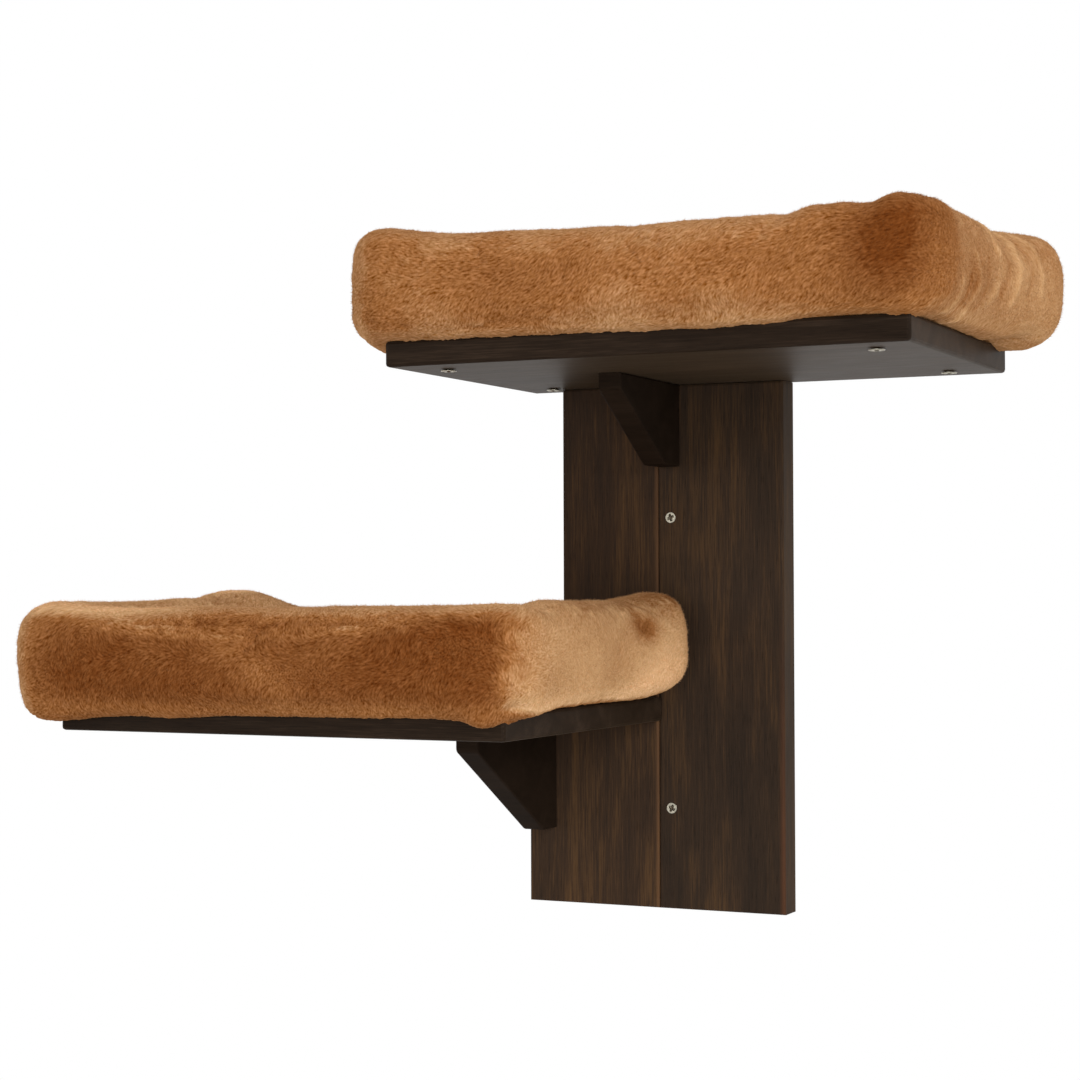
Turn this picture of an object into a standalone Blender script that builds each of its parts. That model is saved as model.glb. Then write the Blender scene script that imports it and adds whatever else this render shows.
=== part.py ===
"""Cat wall shelf: a stepped wall plate, two boards on triangular brackets and two bolster beds.

Lengths are in metres, with +Z up, +X to the right along the wall and +Y into the wall.
The origin lies on the wall plane, midway between the two wall screws.
"""

import math

import bmesh
import bpy
from mathutils import Matrix, Vector

# Fits between pieces
SEAT_GAP = 0.0003            # two pieces that touch
BORE_CLEARANCE = 0.0003      # round a screw or a dowel in its hole
CUT_OVERRUN = 0.002          # how far a cutter runs out of the face that it cuts

# Wall plate: two staves glued edge to edge, the left one wider below its shoulder
PLATE_THICKNESS = 0.028
RIGHT_STAVE_WIDTH = 0.111
LEFT_STAVE_UPPER_WIDTH = 0.089
LEFT_STAVE_LOWER_WIDTH = 0.121
WALL_SCREW_SPACING = 0.244
PLATE_TOP_MARGIN = 0.112     # upper wall screw to the plate's top end
PLATE_BOTTOM_MARGIN = 0.084  # lower wall screw to the plate's bottom end
SHOULDER_RADIUS = 0.003
PLATE_EDGE_RADIUS = 0.002

# Boards
BOARD_THICKNESS = 0.020
BOARD_EDGE_RADIUS = 0.0025
UPPER_BOARD_LENGTH = 0.418
UPPER_BOARD_DEPTH = 0.270
UPPER_BOARD_LEFT_REACH = 0.139   # left end to the line of the wall screws
LOWER_BOARD_LENGTH = 0.394
LOWER_BOARD_DEPTH = 0.300
LOWER_BOARD_DROP = 0.263         # plate's top end to the lower board's top face
LOWER_BOARD_PAST_SEAM = 0.003    # right end beyond the seam between the staves

# Brackets: depth along the board, height down the plate, upright nose, level foot
BRACKET_THICKNESS = 0.020
BRACKET_CORNER_RADIUS = 0.005
BRACKET_EDGE_RADIUS = 0.0015
UPPER_BRACKET_DEPTH = 0.124
UPPER_BRACKET_HEIGHT = 0.069
UPPER_BRACKET_NOSE = 0.013
UPPER_BRACKET_FOOT = 0.032
LOWER_BRACKET_DEPTH = 0.150
LOWER_BRACKET_HEIGHT = 0.093
LOWER_BRACKET_NOSE = 0.019
LOWER_BRACKET_FOOT = 0.025
LOWER_BRACKET_EDGE_INSET = 0.006  # left face to the plate's lower left edge

# Dowels across the seam
DOWEL_DIAMETER = 0.008
DOWEL_LENGTH = 0.040
DOWEL_CHAMFER = 0.001

# Assembly screws, countersunk and hidden once the shelf hangs on its wall
ASSEMBLY_HEAD_DIAMETER = 0.008
ASSEMBLY_HEAD_HEIGHT = 0.0025
ASSEMBLY_SHANK_DIAMETER = 0.004
ASSEMBLY_BITE = 0.024            # thread in the second piece
UPPER_BOARD_SCREW_SPACING = 0.070
LOWER_BOARD_SCREW_SPACING = 0.042
LOWER_BOARD_SCREW_END = 0.020    # last screw to the board's right end
BRACKET_SCREW_DEPTH_SHARE = 0.50
BRACKET_SCREW_HEIGHT_SHARE = 0.62

# Wall screws
WALL_HEAD_DIAMETER = 0.009
WALL_HEAD_HEIGHT = 0.0028
WALL_SHANK_DIAMETER = 0.0045
WALL_BITE = 0.027

# Bed screws, with low domed heads under the board
BED_HEAD_DIAMETER = 0.0125
BED_HEAD_HEIGHT = 0.003
BED_SHANK_DIAMETER = 0.004
BED_SCREW_BITE_SHARE = 0.70      # of the base panel's thickness
BED_SCREW_END_INSET = 0.036
BED_SCREW_EDGE_INSET = 0.038

SCREW_POINT_LENGTH = 0.006
HEAD_RIM = 0.0004                # straight rim of a countersunk head

# Beds: a stuffed ring round a floor pad, over a stiff base panel
BASE_PANEL_THICKNESS = 0.012
BASE_PANEL_INSET = 0.012         # from the board's edges
BASE_PANEL_CORNER_RADIUS = 0.012
BASE_PANEL_EDGE_RADIUS = 0.0015
BOLSTER_WIDTH = 0.060
BOLSTER_HEIGHT = 0.080           # above the board, before a side or a corner takes its share
BOLSTER_OUTER_CORNER = 0.042
BOLSTER_INNER_CORNER = 0.014
BOLSTER_SIDE_PULL = 0.003        # how far a side draws in between its corners
BED_WALL_GAP = 0.0015
UPPER_BED_LEFT_OVERHANG = 0.031
UPPER_BED_RIGHT_OVERHANG = 0.028
UPPER_BED_FRONT_OVERHANG = 0.025
UPPER_BED_DROOP = 0.006          # of the belly below the board's top face
UPPER_BED_REAR_BULGE = 0.026     # further out at the rear of the right side
LOWER_BED_LEFT_OVERHANG = 0.042
LOWER_BED_RIGHT_OVERHANG = 0.026
LOWER_BED_FRONT_OVERHANG = 0.025
LOWER_BED_DROOP = 0.010
LOWER_BED_REAR_BULGE = 0.010
PAD_THICKNESS = 0.022            # at the pad's edge
PAD_CROWN = 0.008
PAD_CLEARANCE = 0.001            # between the pad's edge and the bolster
PAD_BOTTOM_ROUND = 0.006
PAD_TOP_ROUND = 0.010

# Fineness of the round and soft shapes
EDGE_SEGMENTS = 2
SCREW_SEGMENTS = 16
CORNER_STEPS = 5
SIDE_STEPS = 8
SECTION_STEPS = 16
PAD_CROWN_STEPS = 4
OUTLINE_ARC_STEPS = 4
SHARP_DEGREES = 40
SECTION_POWER_SHARE = 0.625      # power of the cosine and sine that round the ring's section
ROUND_PROFILE_SHARE = 0.5        # makes a rounded edge an arc of a circle
DOME_ANGLES_SHARE = (0.0, 0.35, 0.68, 1.0)
CORNER_ZONE_SHARE = (0.45, 0.30)  # where a corner starts, along and across the bed
SIDE_POWER = 4                   # how sharply one side's share gives way to the next side's
PAD_OVAL_SHARE = 0.85            # how round the crown's innermost loop is

# Places round a ring, halfway along each side and then in each corner
RING_PLACES = ("front", "right", "rear", "left", "front_left", "front_right", "rear_right", "rear_left")

# Shares of the bolster's height at those places
UPPER_BED_HEIGHT_SHARES = (0.90, 0.97, 0.93, 0.96, 1.05, 1.00, 1.04, 1.03)
LOWER_BED_HEIGHT_SHARES = (0.94, 1.02, 0.91, 1.02, 0.99, 0.98, 1.09, 1.12)

# Shares of the belly's droop at the same places
UPPER_BED_DROOP_SHARES = (0.8, 0.8, 1.0, 1.0, 1.0, 0.5, 1.0, 1.0)
LOWER_BED_DROOP_SHARES = (0.6, 0.2, 0.8, 1.0, 1.0, 0.9, 0.2, 0.8)

# Places that follow from the sizes
WALL_SCREW_Z = WALL_SCREW_SPACING / 2
PLATE_TOP = WALL_SCREW_Z + PLATE_TOP_MARGIN
PLATE_BOTTOM = -WALL_SCREW_Z - PLATE_BOTTOM_MARGIN
PLATE_HALF_WIDTH = (RIGHT_STAVE_WIDTH + LEFT_STAVE_UPPER_WIDTH) / 2
PLATE_FRONT = -PLATE_THICKNESS
SEAM_X = PLATE_HALF_WIDTH - RIGHT_STAVE_WIDTH
PLATE_LOWER_LEFT = SEAM_X - LEFT_STAVE_LOWER_WIDTH
UPPER_BOARD_LEFT = -UPPER_BOARD_LEFT_REACH
LOWER_BOARD_RIGHT = SEAM_X + LOWER_BOARD_PAST_SEAM
LOWER_BOARD_LEFT = LOWER_BOARD_RIGHT - LOWER_BOARD_LENGTH
LOWER_BOARD_TOP = PLATE_TOP - LOWER_BOARD_DROP
LOWER_BRACKET_LEFT = PLATE_LOWER_LEFT + LOWER_BRACKET_EDGE_INSET


class Box:
    """An upright block of space between a low and a high corner."""

    def __init__(self, low, high):
        self.low = Vector(low)
        self.high = Vector(high)

    def grown(self, by):
        """The same block, larger by one length on every side."""
        margin = Vector((by, by, by))
        return Box(self.low - margin, self.high + margin)

    def inset(self, left, right, front, back):
        """The same block with its four upright sides moved inwards."""
        low = self.low + Vector((left, front, 0))
        high = self.high - Vector((right, back, 0))
        return Box(low, high)

    def centre(self):
        """The point in the middle of the block."""
        return (self.low + self.high) / 2


UPPER_BOARD = Box(
    (UPPER_BOARD_LEFT, -UPPER_BOARD_DEPTH, PLATE_TOP),
    (UPPER_BOARD_LEFT + UPPER_BOARD_LENGTH, 0, PLATE_TOP + BOARD_THICKNESS),
)
LOWER_BOARD = Box(
    (LOWER_BOARD_LEFT, PLATE_FRONT - LOWER_BOARD_DEPTH, LOWER_BOARD_TOP - BOARD_THICKNESS),
    (LOWER_BOARD_RIGHT, PLATE_FRONT - SEAT_GAP, LOWER_BOARD_TOP),
)


def clear_scene():
    """Remove every object that the scene starts with."""
    for item in list(bpy.data.objects):
        bpy.data.objects.remove(item, do_unlink=True)


def finish_material(name, colour, roughness, metallic=0.0):
    """A Principled material with the finish that the photograph shows."""
    material = bpy.data.materials.new(name)
    material.use_nodes = True
    shader = material.node_tree.nodes["Principled BSDF"]
    shader.inputs["Base Color"].default_value = (*colour, 1.0)
    shader.inputs["Roughness"].default_value = roughness
    shader.inputs["Metallic"].default_value = metallic
    return material


def add_object(name, shape, origin, material, root, smooth=False):
    """Make an object, with its own origin at the given point, from a bmesh drawn in the part's frame."""
    bmesh.ops.recalc_face_normals(shape, faces=shape.faces)
    mesh = bpy.data.meshes.new(name)
    shape.to_mesh(mesh)
    shape.free()
    mesh.transform(Matrix.Translation(-Vector(origin)))
    if material:
        mesh.materials.append(material)
    if smooth:
        mesh.shade_smooth()
        mesh.set_sharp_from_angle(angle=math.radians(SHARP_DEGREES))
    item = bpy.data.objects.new(name, mesh)
    bpy.context.collection.objects.link(item)
    item.location = origin
    item.parent = root
    return item


def add_copies(profile, placements, material, root):
    """One turned solid at each of several placements, as objects that share a mesh."""
    shape = bmesh.new()
    add_turned(shape, profile, Matrix.Identity(4))
    bmesh.ops.recalc_face_normals(shape, faces=shape.faces)
    mesh = bpy.data.meshes.new("turned")
    shape.to_mesh(mesh)
    shape.free()
    mesh.materials.append(material)
    mesh.shade_smooth()
    mesh.set_sharp_from_angle(angle=math.radians(SHARP_DEGREES))
    for name, placement in placements.items():
        item = bpy.data.objects.new(name, mesh)
        bpy.context.collection.objects.link(item)
        item.location = placement.to_translation()
        item.rotation_euler = placement.to_euler()
        item.parent = root


def cut_away(target, shape, label, root):
    """Subtract a bmesh from an object with a Boolean modifier, keeping the cutter as a wire guide."""
    cutter = add_object(f"{target.name}_{label}", shape, target.location, None, root)
    cutter.display_type = "WIRE"
    cutter.hide_render = True
    cut = target.modifiers.new(label, "BOOLEAN")
    cut.operation = "DIFFERENCE"
    cut.object = cutter


def add_block(shape, box):
    """Add a plain upright block to a bmesh."""
    made = bmesh.ops.create_cube(shape, size=1.0)
    bmesh.ops.scale(shape, vec=box.high - box.low, verts=made["verts"])
    bmesh.ops.translate(shape, vec=box.centre(), verts=made["verts"])


def round_edges(shape, edges, radius, segments):
    """Round some edges of a bmesh."""
    profile = ROUND_PROFILE_SHARE
    bmesh.ops.bevel(shape, geom=edges, offset=radius, segments=segments, profile=profile, affect="EDGES")


def rounded_block(box, radius):
    """A block with all its edges rounded."""
    shape = bmesh.new()
    add_block(shape, box)
    round_edges(shape, shape.edges[:], radius, EDGE_SEGMENTS)
    return shape


def rounded_outline(corners):
    """Outline with an arc at each corner, from (point, radius) pairs in order round the shape."""
    outline = []
    for index, (corner, radius) in enumerate(corners):
        here = Vector(corner)
        if not radius:
            outline.append(here)
            continue
        before = (Vector(corners[index - 1][0]) - here).normalized()
        after = (Vector(corners[(index + 1) % len(corners)][0]) - here).normalized()
        half_angle = before.angle(after) / 2
        centre = here + (before + after).normalized() * (radius / math.sin(half_angle))
        first = (here + before * (radius / math.tan(half_angle)) - centre).normalized()
        last = (here + after * (radius / math.tan(half_angle)) - centre).normalized()
        for step in range(OUTLINE_ARC_STEPS + 1):
            outline.append(centre + first.slerp(last, step / OUTLINE_ARC_STEPS) * radius)
    return outline


def prism(outline, low, high, edge_radius, to_space):
    """Extrude a plane outline from one level to another, then round the edges of both flat faces."""
    shape = bmesh.new()
    bottom = shape.faces.new([shape.verts.new(to_space(point, low)) for point in outline])
    raised = bmesh.ops.extrude_face_region(shape, geom=[bottom])
    top = [item for item in raised["geom"] if isinstance(item, bmesh.types.BMFace)][0]
    shift = to_space(outline[0], high) - to_space(outline[0], low)
    bmesh.ops.translate(shape, vec=shift, verts=top.verts)
    round_edges(shape, list(bottom.edges) + list(top.edges), edge_radius, EDGE_SEGMENTS)
    return shape


def add_turned(shape, profile, placement):
    """Add a solid of revolution, from (radius, height) pairs that start and end on the axis."""
    rings = []
    for radius, height in profile:
        count = SCREW_SEGMENTS if radius else 1
        angles = [2 * math.pi * step / SCREW_SEGMENTS for step in range(count)]
        points = [Vector((radius * math.cos(a), radius * math.sin(a), height)) for a in angles]
        rings.append([shape.verts.new(placement @ point) for point in points])
    for ring, after in zip(rings, rings[1:]):
        for step in range(SCREW_SEGMENTS):
            corners = [ring[step % len(ring)], ring[(step + 1) % len(ring)]]
            corners += [after[(step + 1) % len(after)], after[step % len(after)]]
            shape.faces.new(list(dict.fromkeys(corners)))


def countersunk(sizes, grow=0.0, overrun=0.0):
    """Profile of a countersunk screw from its point to its flush head; grow and overrun make its hole."""
    head_diameter, head_height, shank_diameter, length = sizes
    head = head_diameter / 2 + grow
    shank = shank_diameter / 2 + grow
    return [
        (0, -length - grow),
        (shank, SCREW_POINT_LENGTH - length - grow),
        (shank, -head_height),
        (head, -HEAD_RIM),
        (head, overrun),
        (0, overrun),
    ]


def domed(head_diameter, head_height, shank_diameter, length):
    """Profile of a screw with a low domed head that stands on the surface."""
    turns = [share * math.pi / 2 for share in DOME_ANGLES_SHARE]
    dome = [(head_diameter / 2 * math.cos(turn), head_height * math.sin(turn)) for turn in turns[:-1]]
    return [
        (0, -length),
        (shank_diameter / 2, SCREW_POINT_LENGTH - length),
        (shank_diameter / 2, SEAT_GAP),
        *[(radius, SEAT_GAP + height) for radius, height in dome],
        (0, SEAT_GAP + head_height),
    ]


def bore(shank_diameter, length):
    """Profile of the plain hole for a screw whose head stays outside."""
    radius = shank_diameter / 2 + BORE_CLEARANCE
    return [
        (0, -length - BORE_CLEARANCE),
        (radius, SCREW_POINT_LENGTH - length - BORE_CLEARANCE),
        (radius, CUT_OVERRUN),
        (0, CUT_OVERRUN),
    ]


def dowel_profile(grow=0.0):
    """Profile of a dowel lying half on each side of its middle; grow makes its hole."""
    half = DOWEL_LENGTH / 2 + grow
    radius = DOWEL_DIAMETER / 2 + grow
    return [
        (0, -half),
        (radius - DOWEL_CHAMFER, -half),
        (radius, DOWEL_CHAMFER - half),
        (radius, half - DOWEL_CHAMFER),
        (radius - DOWEL_CHAMFER, half),
        (0, half),
    ]


def driven(point, direction):
    """Placement of a screw whose head is at a point and whose tip points along a direction."""
    turn = Vector((0, 0, -1)).rotation_difference(Vector(direction)).to_matrix().to_4x4()
    return Matrix.Translation(Vector(point)) @ turn


def turned_group(profile, placements):
    """Several copies of one turned solid in one bmesh."""
    shape = bmesh.new()
    for placement in placements:
        add_turned(shape, profile, placement)
    return shape


DOWN = (0, 0, -1)
UP = (0, 0, 1)
OUT_OF_WALL = (0, -1, 0)
INTO_WALL = (0, 1, 0)
ALONG_WALL = (1, 0, 0)


class ScrewSet:
    """A group of like screws: their names and places, their solid's profile and their holes' profile."""

    def __init__(self, name, profile, hole, places, direction):
        self.name = name
        self.profile = profile
        self.hole = hole
        self.placements = {f"{name}_{end}": driven(place, direction) for end, place in places.items()}

    def holes(self):
        """The cutters for the screws' holes as one bmesh."""
        return turned_group(self.hole, self.placements.values())


def countersunk_set(name, sizes, places, direction):
    """Countersunk screws with the holes that they run in."""
    hole = countersunk(sizes, BORE_CLEARANCE, CUT_OVERRUN)
    return ScrewSet(name, countersunk(sizes), hole, places, direction)


def assembly_screws(name, places, direction, passed):
    """Countersunk screws that pass through one piece and bite into the next."""
    length = passed + ASSEMBLY_BITE
    sizes = (ASSEMBLY_HEAD_DIAMETER, ASSEMBLY_HEAD_HEIGHT, ASSEMBLY_SHANK_DIAMETER, length)
    return countersunk_set(name, sizes, places, direction)


def bracket_sizes(depth, height, nose, foot, left, top):
    """Outline of a bracket in its own plane, with the places of its two screws."""
    corners = [
        ((0, 0), 0),
        ((-depth, 0), 0),
        ((-depth, -nose), BRACKET_CORNER_RADIUS),
        ((-foot, -height), BRACKET_CORNER_RADIUS),
        ((0, -height), 0),
    ]
    middle = left + BRACKET_THICKNESS / 2
    above = (middle, PLATE_FRONT - depth * BRACKET_SCREW_DEPTH_SHARE, top + BOARD_THICKNESS)
    behind = (middle, 0, top - height * BRACKET_SCREW_HEIGHT_SHARE)
    return corners, above, behind


def bracket_solid(corners, left, top):
    """A bracket: its outline run across its thickness, just clear of the plate and the board."""

    def to_space(point, level):
        return Vector((level, PLATE_FRONT - SEAT_GAP + point[0], top - SEAT_GAP + point[1]))

    return prism(rounded_outline(corners), left, left + BRACKET_THICKNESS, BRACKET_EDGE_RADIUS, to_space)


def rounded_rectangle(box, inset, radius):
    """Points round a block's plan at height zero, inset from its sides, each with its outward direction."""
    low = box.low + Vector((inset + radius, inset + radius, 0))
    high = box.high - Vector((inset + radius, inset + radius, 0))
    arcs = []
    for x, y, start in ((high.x, low.y, -90), (high.x, high.y, 0), (low.x, high.y, 90), (low.x, low.y, 180)):
        centre = Vector((x, y, 0))
        turns = [math.radians(start + 90 * step / CORNER_STEPS) for step in range(CORNER_STEPS + 1)]
        outwards = [Vector((math.cos(turn), math.sin(turn), 0)) for turn in turns]
        arcs.append([(centre + outward * radius, outward) for outward in outwards])
    loop = []
    for arc, after in zip(arcs, arcs[1:] + arcs[:1]):
        loop += arc
        start, end = arc[-1][0], after[0][0]
        loop += [(start.lerp(end, step / SIDE_STEPS), arc[-1][1]) for step in range(1, SIDE_STEPS)]
    return loop


def join_loops(shape, loops, closed):
    """Skin a stack of equal loops with faces, as a ring or capped at its two ends."""
    rows = [[shape.verts.new(point) for point in loop] for loop in loops]
    pairs = list(zip(rows, rows[1:]))
    if closed:
        pairs.append((rows[-1], rows[0]))
    for row, after in pairs:
        for index in range(len(row)):
            follow = (index + 1) % len(row)
            shape.faces.new((row[index], row[follow], after[follow], after[index]))
    if not closed:
        shape.faces.new(rows[0])
        shape.faces.new(rows[-1])


def ease(value):
    """Smooth step from 0 to 1."""
    value = min(max(value, 0.0), 1.0)
    return value * value * (3 - 2 * value)


class Bed:
    """A bolster bed: stuffed ring, floor pad and base panel on one board."""

    def __init__(self, name, board, overhangs, bulge, droop, height_shares, droop_shares):
        left, right, front = overhangs
        self.name = name
        self.board = board
        self.envelope = board.inset(-left, -right, -front, BED_WALL_GAP)
        self.base = board.high.z + SEAT_GAP
        self.bulge = bulge
        self.droop = droop
        self.height_shares = dict(zip(RING_PLACES, height_shares))
        self.droop_shares = dict(zip(RING_PLACES, droop_shares))
        self.panel = board.inset(BASE_PANEL_INSET, BASE_PANEL_INSET, BASE_PANEL_INSET, BASE_PANEL_INSET)
        self.panel.low.z = self.base
        self.panel.high.z = self.base + BASE_PANEL_THICKNESS

    def place_share(self, point):
        """Where a point lies in the bed's plan, from -1 to 1 along it and across it."""
        middle = self.envelope.centre()
        half = (self.envelope.high - self.envelope.low) / 2
        return (point.x - middle.x) / half.x, (point.y - middle.y) / half.y

    def corner_share(self, point):
        """How far a point is into a corner of the bed: 0 between corners, 1 in a corner."""
        share = 1
        for place, start in zip(self.place_share(point), CORNER_ZONE_SHARE):
            share *= ease((abs(place) - start) / (1 - start))
        return share

    def read_shares(self, table, point):
        """The share that a table of sides and corners gives at a point of the ring."""
        along, across = self.place_share(point)
        side = "right" if along > 0 else "left"
        end = "rear" if across > 0 else "front"
        side_pull, end_pull = along ** SIDE_POWER, across ** SIDE_POWER
        straight = (table[side] * side_pull + table[end] * end_pull) / (side_pull + end_pull)
        return straight + (table[f"{end}_{side}"] - straight) * self.corner_share(point)

    def shaped(self, point, outward, outer_share, up_share):
        """A point of the stuffed ring from its place in the plain plan and its share of the half height."""
        top = self.base + BOLSTER_HEIGHT * self.read_shares(self.height_shares, point)
        bottom = self.base - self.droop * self.read_shares(self.droop_shares, point)
        level = (top + bottom) / 2 + (top - bottom) / 2 * up_share
        drawn_in = outward * BOLSTER_SIDE_PULL * (1 - self.corner_share(point))
        along, across = self.place_share(point)
        bulged = Vector((self.bulge, 0, 0)) * ease(along) * ease(across)
        moved = point + (bulged - drawn_in) * outer_share
        return Vector((moved.x, moved.y, level))

    def bolster(self):
        """The stuffed ring, a superellipse section carried round a rounded rectangle."""
        power = SECTION_POWER_SHARE
        loops = []
        for step in range(SECTION_STEPS):
            turn = math.pi * (2 * step + 1) / SECTION_STEPS
            across = math.copysign(abs(math.cos(turn)) ** power, math.cos(turn))
            up = math.copysign(abs(math.sin(turn)) ** power, math.sin(turn))
            inset_share = (1 + across) / 2
            radius = BOLSTER_OUTER_CORNER + (BOLSTER_INNER_CORNER - BOLSTER_OUTER_CORNER) * inset_share
            plan = rounded_rectangle(self.envelope, BOLSTER_WIDTH * inset_share, radius)
            outer_share = max(-across, 0)
            loops.append([self.shaped(point, outward, outer_share, up) for point, outward in plan])
        shape = bmesh.new()
        join_loops(shape, loops, closed=True)
        return shape

    def pad_levels(self, room):
        """Inset and height of each loop of the pad, from its underside over its edge to its crown."""
        shoulder = PAD_TOP_ROUND * (1 - math.sqrt(0.5))
        levels = [
            (PAD_BOTTOM_ROUND, 0),
            (0, PAD_BOTTOM_ROUND),
            (0, PAD_THICKNESS - PAD_TOP_ROUND),
            (shoulder, PAD_THICKNESS - shoulder),
            (PAD_TOP_ROUND, PAD_THICKNESS),
        ]
        for step in range(1, PAD_CROWN_STEPS + 1):
            share = step / (PAD_CROWN_STEPS + 1)
            inset = PAD_TOP_ROUND + (room - PAD_TOP_ROUND) * share
            levels.append((inset, PAD_THICKNESS + PAD_CROWN * math.sin(share * math.pi / 2)))
        return levels

    def pad(self):
        """The crowned floor pad inside the ring, whose loops turn oval towards the crown."""
        edge = BOLSTER_WIDTH + PAD_CLEARANCE
        seat = Vector((0, 0, self.panel.high.z + SEAT_GAP))
        room = (self.envelope.high.y - self.envelope.low.y) / 2 - edge
        loops = []
        for inset, height in self.pad_levels(room):
            oval = inset / room * PAD_OVAL_SHARE
            radius = BOLSTER_INNER_CORNER * (1 - oval) + (room - inset) * oval
            plan = rounded_rectangle(self.envelope, edge + inset, radius)
            loops.append([point + seat + Vector((0, 0, height)) for point, _ in plan])
        shape = bmesh.new()
        join_loops(shape, loops, closed=False)
        return shape

    def panel_solid(self):
        """The base panel, a board with round corners."""
        low, high = self.panel.low, self.panel.high
        plan = [(low.x, low.y), (high.x, low.y), (high.x, high.y), (low.x, high.y)]
        outline = rounded_outline([(point, BASE_PANEL_CORNER_RADIUS) for point in plan])

        def to_space(point, level):
            return Vector((*point, level))

        return prism(outline, low.z, high.z, BASE_PANEL_EDGE_RADIUS, to_space)

    def panel_space(self):
        """The space that the base panel takes out of the ring."""
        shape = bmesh.new()
        add_block(shape, self.panel.grown(SEAT_GAP))
        uprights = [edge for edge in shape.edges if abs(edge.verts[0].co.z - edge.verts[1].co.z) > SEAT_GAP]
        round_edges(shape, uprights, BASE_PANEL_CORNER_RADIUS, OUTLINE_ARC_STEPS)
        return shape

    def screws(self):
        """The screws that come up through the board into the base panel."""
        low, high = self.board.low, self.board.high
        ends = {"left": low.x + BED_SCREW_END_INSET, "right": high.x - BED_SCREW_END_INSET}
        sides = {"front": low.y + BED_SCREW_EDGE_INSET, "rear": high.y - BED_SCREW_EDGE_INSET}
        places = {f"{side}_{end}": (x, y, low.z) for end, x in ends.items() for side, y in sides.items()}
        length = BOARD_THICKNESS + SEAT_GAP + BASE_PANEL_THICKNESS * BED_SCREW_BITE_SHARE
        profile = domed(BED_HEAD_DIAMETER, BED_HEAD_HEIGHT, BED_SHANK_DIAMETER, length)
        return ScrewSet(f"{self.name}_screw", profile, bore(BED_SHANK_DIAMETER, length), places, UP)

    def build(self, screws, materials, root):
        """Make the bed's objects."""
        middle = self.board.centre()
        seat = (middle.x, middle.y, self.base)
        panel = add_object(f"{self.name}_base_panel", self.panel_solid(), seat, materials["plywood"], root)
        cut_away(panel, screws.holes(), "screw_holes", root)
        plush = materials["plush"]
        ring = add_object(f"{self.name}_bolster", self.bolster(), seat, plush, root, smooth=True)
        board_space = bmesh.new()
        add_block(board_space, self.board.grown(SEAT_GAP))
        cut_away(ring, board_space, "board_space", root)
        cut_away(ring, self.panel_space(), "panel_space", root)
        add_object(f"{self.name}_pad", self.pad(), seat, plush, root, smooth=True)


def stave_outlines():
    """Outlines of the two staves in the wall plane, with half a seat gap at the seam."""
    top = PLATE_TOP - SEAT_GAP
    left_edge = SEAM_X - SEAT_GAP / 2
    right_edge = SEAM_X + SEAT_GAP / 2
    left = [
        ((left_edge, PLATE_BOTTOM), 0),
        ((left_edge, top), 0),
        ((-PLATE_HALF_WIDTH, top), 0),
        ((-PLATE_HALF_WIDTH, LOWER_BOARD_TOP), SHOULDER_RADIUS),
        ((PLATE_LOWER_LEFT, LOWER_BOARD_TOP), SHOULDER_RADIUS),
        ((PLATE_LOWER_LEFT, PLATE_BOTTOM), 0),
    ]
    right = [
        ((right_edge, PLATE_BOTTOM), 0),
        ((PLATE_HALF_WIDTH, PLATE_BOTTOM), 0),
        ((PLATE_HALF_WIDTH, top), 0),
        ((right_edge, top), 0),
    ]
    return left, right


def dowel_places(upper_bracket):
    """Placements of the three dowels across the seam, each midway between the screws near it."""
    bracket_screw_z = upper_bracket[2][2]
    levels = {
        "upper": (bracket_screw_z + WALL_SCREW_Z) / 2,
        "middle": (WALL_SCREW_Z + LOWER_BOARD.centre().z) / 2,
        "lower": (PLATE_BOTTOM - WALL_SCREW_Z) / 2,
    }
    return {
        f"wall_plate_dowel_{end}": driven((SEAM_X, PLATE_FRONT / 2, level), ALONG_WALL)
        for end, level in levels.items()
    }


def build_plate(dowels, hole_sets, materials, root):
    """The two staves of the wall plate and the dowels between them."""
    left, right = stave_outlines()
    for side, corners in (("left", left), ("right", right)):
        shape = prism(
            rounded_outline(corners),
            PLATE_FRONT,
            0,
            PLATE_EDGE_RADIUS,
            lambda point, level: Vector((point[0], level, point[1])),
        )
        stave = add_object(f"wall_plate_{side}_stave", shape, (0, 0, 0), materials[f"walnut_{side}"], root)
        holes = turned_group(dowel_profile(BORE_CLEARANCE), dowels.values())
        cut_away(stave, holes, "dowel_holes", root)
        for screw_set in hole_sets:
            cut_away(stave, screw_set.holes(), f"{screw_set.name}_holes", root)
    add_copies(dowel_profile(), dowels, materials["beech"], root)


def build_board(name, box, hole_sets, material, root):
    """A shelf board with rounded edges and its screw holes."""
    board = add_object(name, rounded_block(box, BOARD_EDGE_RADIUS), box.centre(), material, root)
    for screw_set in hole_sets:
        cut_away(board, screw_set.holes(), f"{screw_set.name}_holes", root)


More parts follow.
